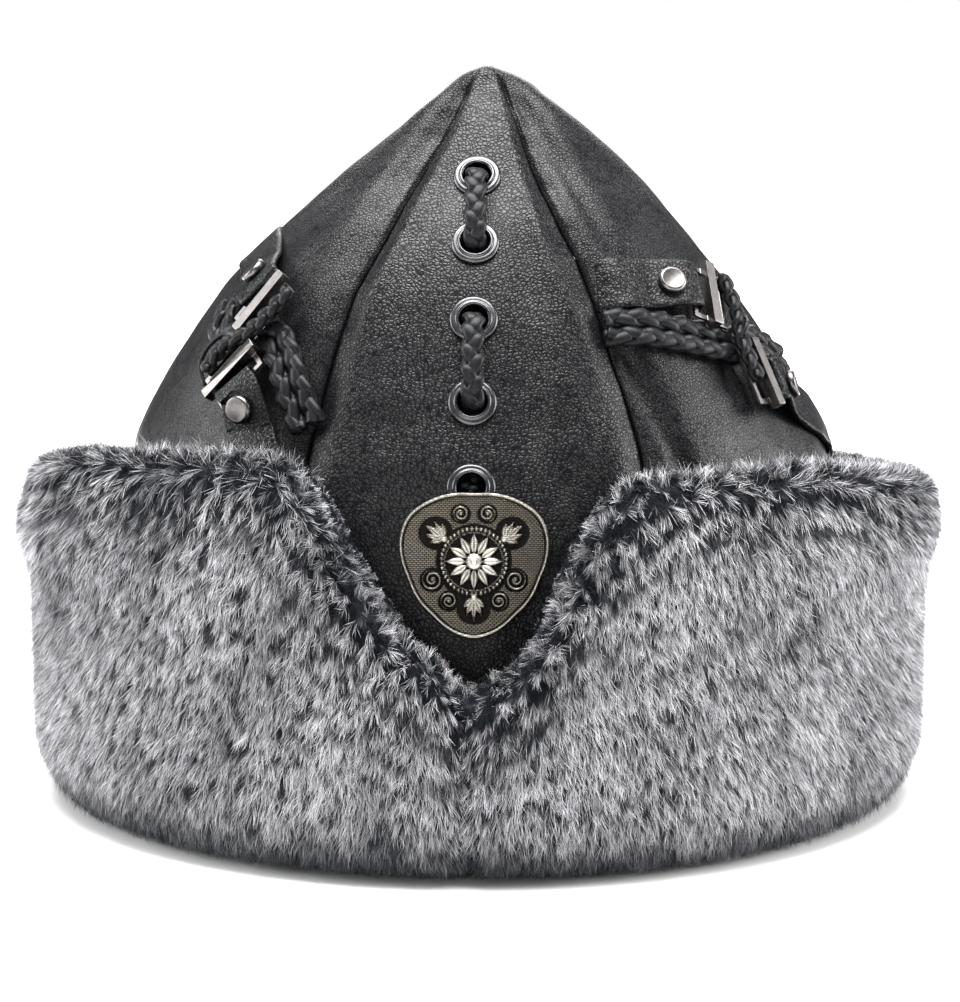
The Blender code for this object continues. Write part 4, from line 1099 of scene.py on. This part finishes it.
def make_fur(pile, under_fur):
    cuff = Cuff()
    points = cuff.base[:, ::2]
    rows, columns = points.shape[:2]
    closing = grid_faces(2, columns, wrap=True)
    closing = np.where(closing >= columns, closing - columns, closing + (rows - 1) * columns)
    faces = np.concatenate([grid_faces(rows, columns, wrap=True), closing])[:, ::-1]
    add_piece(mesh_from("fur_base", points, faces), "fur", under_fur, "fur_cuff")
    share = 1.0
    bent, straight = int(BENT_STRANDS * share), int(STRAIGHT_STRANDS * share)
    for quarter in range(len(FUR_PARTS)):
        make_strands(cuff, quarter, bent, straight, pile)


def path_axes(path, up):
    """Unit vectors along a path: across it and up, each square to it."""
    along = unit(np.gradient(path, axis=0))
    across = unit(np.cross(up, along))
    return across, np.cross(along, across)


def tube_rings(centre, up, width, thickness, sides):
    """Rings of oval section along a path, wide across the path and across up."""
    across, up = path_axes(centre, up)
    turns = 2 * math.pi * (np.arange(sides) + 0.5) / sides
    wide = across[:, None] * (width / 2 * np.cos(turns))[:, None]
    tall = up[:, None] * (thickness / 2 * np.sin(turns))[:, None]
    return centre[:, None] + wide + tall


def tubes_mesh(name, tubes):
    """One mesh of several closed tubes, each an array of rings."""
    points, faces, start = [], [], 0
    for rings in tubes:
        rows, sides = rings.shape[:2]
        points.append(rings.reshape(-1, 3))
        faces.append(grid_faces(rows, sides, wrap=True) + start)
        start += rows * sides
    mesh = mesh_from(name, np.concatenate(points), np.concatenate(faces))
    return reshaped(mesh, close_ends, face_outwards)


def plait(middle, outs, size, way=1, sides=8):
    """A flat plait of three strands that sway across it and pass over and under each other. Millimetres.

    Its chevrons point against the path where way is 1, and along it where way is -1.
    """
    width, thickness, period, (strand_width, strand_thickness) = size
    across, up = path_axes(middle, outs)
    tubes = []
    for k in range(3):
        turn = 2 * math.pi * (travelled(middle) / period + k / 3)
        sway = (width - strand_width) / 2 * (np.sin(turn) - 0.1 * np.sin(3 * turn)) / 1.1
        swing = np.sin(2 * turn)
        rise = way * swing / np.sqrt(swing * swing + 0.2) * 1.095
        centre = middle + across * sway[:, None] + up * (rise * (thickness - strand_thickness) / 2)[:, None]
        tubes.append(tube_rings(centre, up, strand_width, strand_thickness, sides))
    return tubes


def make_lace(material):
    """One flat plaited lace, out and in through the eyelets from the top, up to the back of the badge."""
    rungs = []
    first = 2 * EYELET_HEIGHTS[0] - EYELET_HEIGHTS[1]
    heights = (first,) + EYELET_HEIGHTS

    def add(between_eyelets, shares):
        top, low = heights[between_eyelets], heights[between_eyelets + 1]
        for share, off in shares:
            rungs.append((top + (low - top) * share, off))

    add(0, [(1 + share, off) for share, off in LACE_START])
    for pair in (1, 3):
        add(pair, LACE_OUTSIDE)
        add(pair + 1, LACE_INSIDE)
    add(4, [(1 + share, off) for share, off in LACE_END])
    path = spline(rungs, 300)
    angles = np.array([front_angle(height) for height in path[:, 0]])
    middle = on_crown(angles, path[:, 0], path[:, 1])
    outs = unit(np.cross(np.array((1.0, 0.0, 0.0)), np.gradient(middle, axis=0)))
    tubes = plait(middle, outs, LACE_PLAIT, sides=10)
    add_piece(tubes_mesh("front_lace_plait", tubes), "cord", material, "front_lace")


def turned_mesh(name, profile, steps):
    """A turned solid round z, from radii and heights. A section that stays off the axis is closed."""
    profile = np.array(profile)
    if profile[0, 0] > 0:
        profile = np.vstack([profile, profile[:1]])
    turns = np.linspace(0, 2 * math.pi, steps, endpoint=False)
    radius, height = profile[:, :1], np.repeat(profile[:, 1:], steps, 1)
    rings = np.stack([radius * np.cos(turns), radius * np.sin(turns), height], -1)
    mesh = mesh_from(name, rings, grid_faces(len(profile), steps, wrap=True))
    reshaped(mesh, weld_points, face_outwards)
    mesh.shade_smooth()
    return mesh


def make_eyelets(material):
    for number, height in enumerate(EYELET_HEIGHTS, 1):
        mesh = turned_mesh(f"eyelet_ring_{number}", EYELET_PROFILE, 56)
        mesh.transform(frame_at(front_angle(height), height, EYELET_OFF))
        add_piece(mesh, "gunmetal", material, f"eyelet_{number}")


def panel_places(centre, right, up):
    """The angles and heights on the crown of places given in the flat plane of a side ornament."""
    right, up = np.asarray(right, float), np.asarray(up, float)
    angle, height = centre[0] + 0 * right, centre[1] + 0 * right
    middle = crown_point(*centre)
    onwards, upwards, _ = crown_axes(*centre)
    for _ in range(SEARCH_ROUNDS):
        here = crown_point(angle, height)
        offset = here - middle
        miss = np.stack([right - offset @ onwards, up - offset @ upwards], -1)
        by_angle = (crown_point(angle + SEARCH_STEP, height) - here) / SEARCH_STEP
        by_height = (crown_point(angle, height + SEARCH_STEP) - here) / SEARCH_STEP
        gains = (by_angle @ onwards, by_height @ onwards, by_angle @ upwards, by_height @ upwards)
        lean = np.stack(gains, -1).reshape(*angle.shape, 2, 2)
        change = np.clip(np.linalg.solve(lean, miss[..., None])[..., 0], -SEARCH_REACH, SEARCH_REACH)
        angle = angle + change[..., 0]
        height = height + change[..., 1]
    return angle, height


def laid(centre, right, up, off):
    """Points over the leather at places of a side ornament, and the directions out of the crown there."""
    angle, height = panel_places(centre, right, up)
    off = LAID_SHARE * seam_relief(angle, height) + off
    return on_crown(angle, height, off), crown_axes(angle, height)[2]


def strap_frame(centre, route, spot):
    """A matrix in metres on top of a strap, at a spot near its middle line. Its z points out of the strap."""
    rows = spline(route, 60)
    nearest = int(np.argmin(np.hypot(rows[:, 0] - spot[0], rows[:, 1] - spot[1])))
    step = rows[nearest + 2] - rows[nearest - 2]
    length = np.linalg.norm(step[:2])
    along, climb = step[:2] / length, step[3] / length
    across = np.array((-along[1], along[0]))
    top = rows[nearest][3] + STRAP_THICKNESS
    moves = np.array(((1, 0), (-1, 0), (0, 1), (0, -1), (0, 0)), float)
    places = np.array(spot) + moves[:, :1] * along + moves[:, 1:] * across
    points = laid(centre, places[:, 0], places[:, 1], top + climb * moves[:, 0])[0]
    lengthways = unit(points[0] - points[1])
    out = unit(np.cross(lengthways, points[2] - points[3]))
    return matrix_of((lengthways, np.cross(out, lengthways), out), points[4])


def make_rivet(side, level, centre, route, spot, material):
    mesh = turned_mesh(f"rivet_{level}_{side}", RIVET_PROFILE, 48)
    mesh.transform(strap_frame(centre, route, spot) @ Matrix.Translation((0, 0, RIVET_LIFT * MM)))
    add_piece(mesh, "nickel", material, f"{level}_rivet_{side}")


def strap_section():
    """A rounded oblong: place across from -1 to 1, and height from 0 to 1."""
    top = [(x, 1.0 - 0.08 * x * x) for x in np.linspace(-0.94, 0.94, 13)]
    bottom = [(x, 0.02) for x in np.linspace(0.95, -0.95, 9)]
    edge = [(0.985, 0.78), (1.0, 0.45), (0.985, 0.15)]
    return np.array(top + edge + bottom + [(-x, z) for x, z in reversed(edge)])


def make_strap(side, level, centre, route, material):
    """A leather strap of rounded section that stands off a little more along its lower edge."""
    rows = spline(route, 90)
    along = unit(np.gradient(rows[:, :2], axis=0))
    across = np.stack([-along[:, 1], along[:, 0]], 1)
    section = strap_section()
    spread = section[None, :, 0] * rows[:, 2:3] / 2
    right = rows[:, :1] + across[:, :1] * spread
    up = rows[:, 1:2] + across[:, 1:] * spread
    lower = across[:, 1:] * section[None, :, 0]
    lift = STRAP_EDGE_LIFT * smooth((-lower - 0.45) / 0.5) * (1 + 0.4 * np.sin(rows[:, :1] * 0.55))
    off = rows[:, 3:4] + STRAP_THICKNESS * section[None, :, 1] + lift
    mesh = tubes_mesh(f"strap_{level}_{side}", [laid(centre, right, up, off)[0]])
    add_piece(mesh, "leather", material, f"{level}_strap_{side}")


def make_band(side, centre, route, material):
    """The broad braid: a plait of three strands laid double, its two runs side by side and mirrored."""
    rows = spline(route, 230)
    middle, outs = laid(centre, rows[:, 0], rows[:, 1], BAND_OFF + BAND_PLAIT[1] / 2)
    across = path_axes(middle, outs)[0]
    tubes = []
    for way in (1, -1):
        tubes += plait(middle + across * way * BAND_APART / 2, outs, BAND_PLAIT, way)
    add_piece(tubes_mesh(f"band_plait_{side}", tubes), "cord", material, f"braid_band_{side}")


def make_cord(side, centre, layout, material):
    """The plaited cord that joins the slides, and the thin round thong beside it."""
    middle, outs = laid(centre, *spline(layout["cord"], 120).T)
    mesh = tubes_mesh(f"cord_plait_{side}", plait(middle, outs, CORD_PLAIT))
    add_piece(mesh, "cord", material, f"cord_loop_{side}")
    middle, outs = laid(centre, *spline(layout["thong"], 48).T)
    rings = tube_rings(middle, outs, THONG, THONG, 8)
    add_piece(tubes_mesh(f"thong_{side}", [rings]), "cord", material)


def polish_slide(side, level, material):
    """The slide keeps its shape from the frame, with its facets welded and its edges softened."""
    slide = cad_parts[f"{level}_slide_{side}"]
    slide.data.materials.clear()
    slide.data.materials.append(material)
    weld = slide.modifiers.new("weld", "WELD")
    weld.merge_threshold = 0.00002
    soft = slide.modifiers.new("soft_edges", "BEVEL")
    soft.width = 0.28 * MM
    soft.segments = 3
    soft.limit_method = "ANGLE"
    soft.angle_limit = math.radians(40)
    soft.harden_normals = True


def make_panels(leather, cord, nickel):
    for side, layout in PANELS.items():
        centre = layout["centre"]
        make_band(side, centre, layout["band"], cord)
        make_cord(side, centre, layout, cord)
        for level in ("upper", "lower"):
            route = layout[f"{level}_strap"]
            make_strap(side, level, centre, route, leather)
            make_rivet(side, level, centre, route, layout[f"{level}_rivet"], nickel)
            polish_slide(side, level, nickel)


def badge_radii(turns):
    """Distance from the badge's middle to its outline, in each direction clockwise from the top."""
    right = np.array(BADGE_OUTLINE)
    left = right[-2:0:-1] * (-1, 1)
    loop = np.vstack([right, left])
    directions = np.unwrap(np.arctan2(loop[:, 0], loop[:, 1]))
    directions = np.concatenate([directions, directions[:1] + 2 * math.pi])
    radii = np.hypot(loop[:, 0], loop[:, 1])
    radii = np.concatenate([radii, radii[:1]])
    shifts = np.linspace(-BADGE_BLUR, BADGE_BLUR, 9)
    read = [np.interp((turns + shift) % (2 * math.pi), directions, radii) for shift in shifts]
    return sum(read) / len(shifts)


def ridge(distance, width):
    """A rounded ridge, 1 on its line and 0 at its width."""
    return np.sqrt(np.clip(1 - (distance / width) ** 2, 0, 1))


def petal(x, y, turn, start, length, half_width):
    """The height of a creased leaf that points outwards in a direction, its root at a start."""
    along = x * math.sin(turn) + y * math.cos(turn) - start
    across = x * math.cos(turn) - y * math.sin(turn)
    share = np.clip(along / length, 0, 1)
    width = half_width * np.sin(math.pi * share**0.75) + 1e-6
    inside = (along > 0) & (along < length)
    crease = 1 - 0.35 * bell(across, half_width * 0.22)
    return np.where(inside, ridge(across, width) * crease, 0.0)


def scroll(x, y, size, way):
    """A spiral ridge round a small knob."""
    radius = np.hypot(x, y)
    turn = np.arctan2(y, x) * way
    pitch = size / 2.0
    away = np.abs((radius / pitch - turn / (2 * math.pi)) % 1 - 0.5) * pitch
    line = ridge(np.minimum(pitch / 2 - away, 9), 0.30) * (radius < size) * (radius > 0.6)
    return np.maximum(line, ridge(radius, 0.62))


def off_middle(x, y, turn, distance):
    """Places as seen from a point at a direction and distance from the rosette's middle."""
    return x - distance * math.sin(turn), y - ROSETTE_UP - distance * math.cos(turn)


def ruled_ground(x, y):
    """Height of the ruled ground, which leaves a hollow round the rosette and each spray and scroll."""
    height = BADGE_GROUND * smooth((np.hypot(*off_middle(x, y, 0.0, 0.0)) - 9.4) / 0.5)
    for turn, distance in BADGE_SPRAYS:
        height = height * smooth((np.hypot(*off_middle(x, y, turn, distance + 2.6)) - 4.0) / 0.6)
    for side in (-1, 1):
        for hub_x, hub_y, size, _ in BADGE_SCROLLS:
            height = height * smooth((np.hypot(x * side - hub_x, y - hub_y) - size - 0.3) / 0.5)
    return height


def badge_relief(x, y):
    """The cast ornament: ruled ground, a rosette in a beaded ring, three leaf sprays and scrolls."""
    height = ruled_ground(x, y)
    across, up = off_middle(x, y, 0.0, 0.0)
    radius = np.hypot(across, up)
    for k in range(ROSETTE_LEAVES):
        leaf = petal(across, up, 2 * math.pi * k / ROSETTE_LEAVES, 2.2, 5.0, 1.25)
        height = np.maximum(height, 0.85 * leaf)
    height = np.maximum(height, 1.15 * ridge(radius, 2.3))
    height = np.where(radius < 1.0, 0.8 + 0.5 * ridge(radius, 1.0), height)
    turns = np.arctan2(across, up) / (2 * math.pi)
    to_bead = np.abs(((turns * BEADS) % 1) - 0.5) * 2 * math.pi * BEAD_RING / BEADS
    height = np.maximum(height, 0.6 * ridge(np.hypot(to_bead, radius - BEAD_RING), 0.58))
    height = np.maximum(height, 0.35 * ridge(radius - 7.45, 0.22))
    for turn, distance in BADGE_SPRAYS:
        place = off_middle(x, y, turn, distance)
        for spread, length in SPRAY_LEAVES:
            height = np.maximum(height, 0.7 * petal(*place, turn + spread, 0.2, length * 0.92, 0.95))
        height = np.maximum(height, 0.75 * ridge(np.hypot(*place), 1.0))
    for side in (-1, 1):
        for hub_x, hub_y, size, way in BADGE_SCROLLS:
            height = np.maximum(height, 0.6 * scroll(x * side - hub_x, y - hub_y, size, way))
    return height


def make_badge(material):
    """A cast shield with a rolled rim, modelled as rings that follow its outline."""
    turns = np.linspace(0, 2 * math.pi, BADGE_SECTORS, endpoint=False)
    reach = badge_radii(turns)
    share = np.sin(np.linspace(0, 1, BADGE_RINGS) * math.pi / 2 * 0.75) / math.sin(math.pi / 2 * 0.75)
    share[0] = 0.002
    x = share[:, None] * (reach * np.sin(turns))[None, :]
    y = share[:, None] * (reach * np.cos(turns))[None, :]
    edge = (1 - share)[:, None] * reach[None, :] * 0.93
    rim = 0.62 * ridge(edge - 0.5, 0.5)
    relief = np.maximum(badge_relief(x, y) * smooth((edge - 1.0) / 0.3), rim)
    height = relief + 0.55 * (1 - share[:, None] ** 2)
    top = np.stack([x, y, BADGE_PLATE + height], -1)
    wall = top[-1:] * (1, 1, 0) + (0, 0, 0.25)
    back = wall * (0.985, 0.985, 0)
    middle = back * (0.002, 0.002, 0)
    rings = np.concatenate([top, wall, back, middle])
    mesh = mesh_from("badge_cast", rings, grid_faces(len(rings), BADGE_SECTORS, wrap=True)[:, ::-1])
    tone = np.full(rings.shape[:2], 0.3)
    tone[: len(top)] = np.clip(relief / BADGE_HIGH, 0, 1)
    flat = mesh.attributes.new("flat_place", "FLOAT_VECTOR", "POINT")
    flat.data.foreach_set("vector", (rings * (1, 1, 0)).astype(np.float32).ravel())
    colour_points(mesh, "relief", np.stack([tone, tone, tone, np.ones_like(tone)], -1))
    mesh.transform(frame_at(front_angle(BADGE_HEIGHT, BADGE_LINE), BADGE_HEIGHT, BADGE_OFF))
    add_piece(mesh, "pewter", material, "badge")


def make_camera():
    turn = math.radians(CAMERA_TURN)
    data = bpy.data.cameras.new("camera")
    camera = add_object("camera", data)
    place = (CAMERA_DISTANCE * math.sin(turn), -CAMERA_DISTANCE * math.cos(turn), CAMERA_HEIGHT)
    camera.location = Vector(place) * MM
    camera.rotation_euler = (math.radians(CAMERA_PITCH), 0, turn)
    data.sensor_width = 36.0
    data.lens = FOCAL_PIXELS * data.sensor_width / PICTURE_HEIGHT
    data.shift_x = SHIFT_PIXELS / PICTURE_HEIGHT
    data.clip_start = 0.01
    bpy.context.scene.camera = camera


def area_light(name, place, width, height, power):
    data = bpy.data.lights.new(name, "AREA")
    data.shape = "RECTANGLE"
    data.size, data.size_y = width, height
    data.energy = power
    light = add_object(name, data)
    light.location = place
    light.rotation_euler = (Vector(LIT_PLACE) - Vector(place)).to_track_quat("-Z", "Y").to_euler()


def make_surround():
    """A surround that lights from above and fades towards the ground, and looks plain white."""
    world = bpy.data.worlds.new("studio")
    bpy.context.scene.world = world
    world.use_nodes = True
    nodes = Nodes(world.node_tree)
    surround = world.node_tree.nodes["Background"]
    surround.inputs["Color"].default_value = (1.0, 1.0, 1.0, 1.0)
    around = nodes.node("ShaderNodeTexCoord", {})["Generated"]
    rise = nodes.node("ShaderNodeSeparateXYZ", {"Vector": around})["Z"]
    light = nodes.span(rise, *SURROUND_RISE, SURROUND_LOW, SURROUND_HIGH)
    seen = nodes.node("ShaderNodeLightPath", {})["Is Camera Ray"]
    missing = nodes.times(seen, nodes.maths("SUBTRACT", SURROUND_SEEN, light))
    nodes.feed(surround.inputs["Strength"], nodes.maths("ADD", light, missing))


def floor_material():
    """Pale paper that passes into a white glow far from the hat."""
    look = Look("paper", 0.9)
    look.give("Base Color", (*FLOOR_COLOUR, 1.0))
    look.give("Emission Color", (1.0, 1.0, 1.0, 1.0))
    reach = look.node("ShaderNodeVectorMath", {0: look.place}, operation="LENGTH")["Value"]
    look.give("Emission Strength", look.span(reach, FLOOR_MIDDLE, FLOOR_GLOW))
    return look.material


def make_floor(shape):
    bmesh.ops.create_grid(shape, x_segments=1, y_segments=1, size=FLOOR_REACH)


def make_stage():
    """A pale floor in a white surround, with soft studio lights overhead and all round."""
    make_surround()
    bpy.context.scene.view_settings.view_transform = "Standard"
    floor = add_object("floor", reshaped(bpy.data.meshes.new("floor"), make_floor))
    floor.data.materials.append(floor_material())
    floor.location.z = -FLOOR_UNDER
    for light in LIGHTS:
        area_light(*light)


def main():
    make_camera()
    make_stage()
    coarse_leather = leather_material("coarse_leather", *COARSE_GRAIN)
    make_gores(leather_material("leather", *FINE_GRAIN), coarse_leather, inside_material())
    cord = cord_material()
    make_lace(cord)
    make_eyelets(metal_material("gunmetal", *GUNMETAL))
    make_badge(cast_material())
    make_panels(coarse_leather, cord, metal_material("nickel", *NICKEL))
    make_fur(pile_material(), under_fur_material())


main()
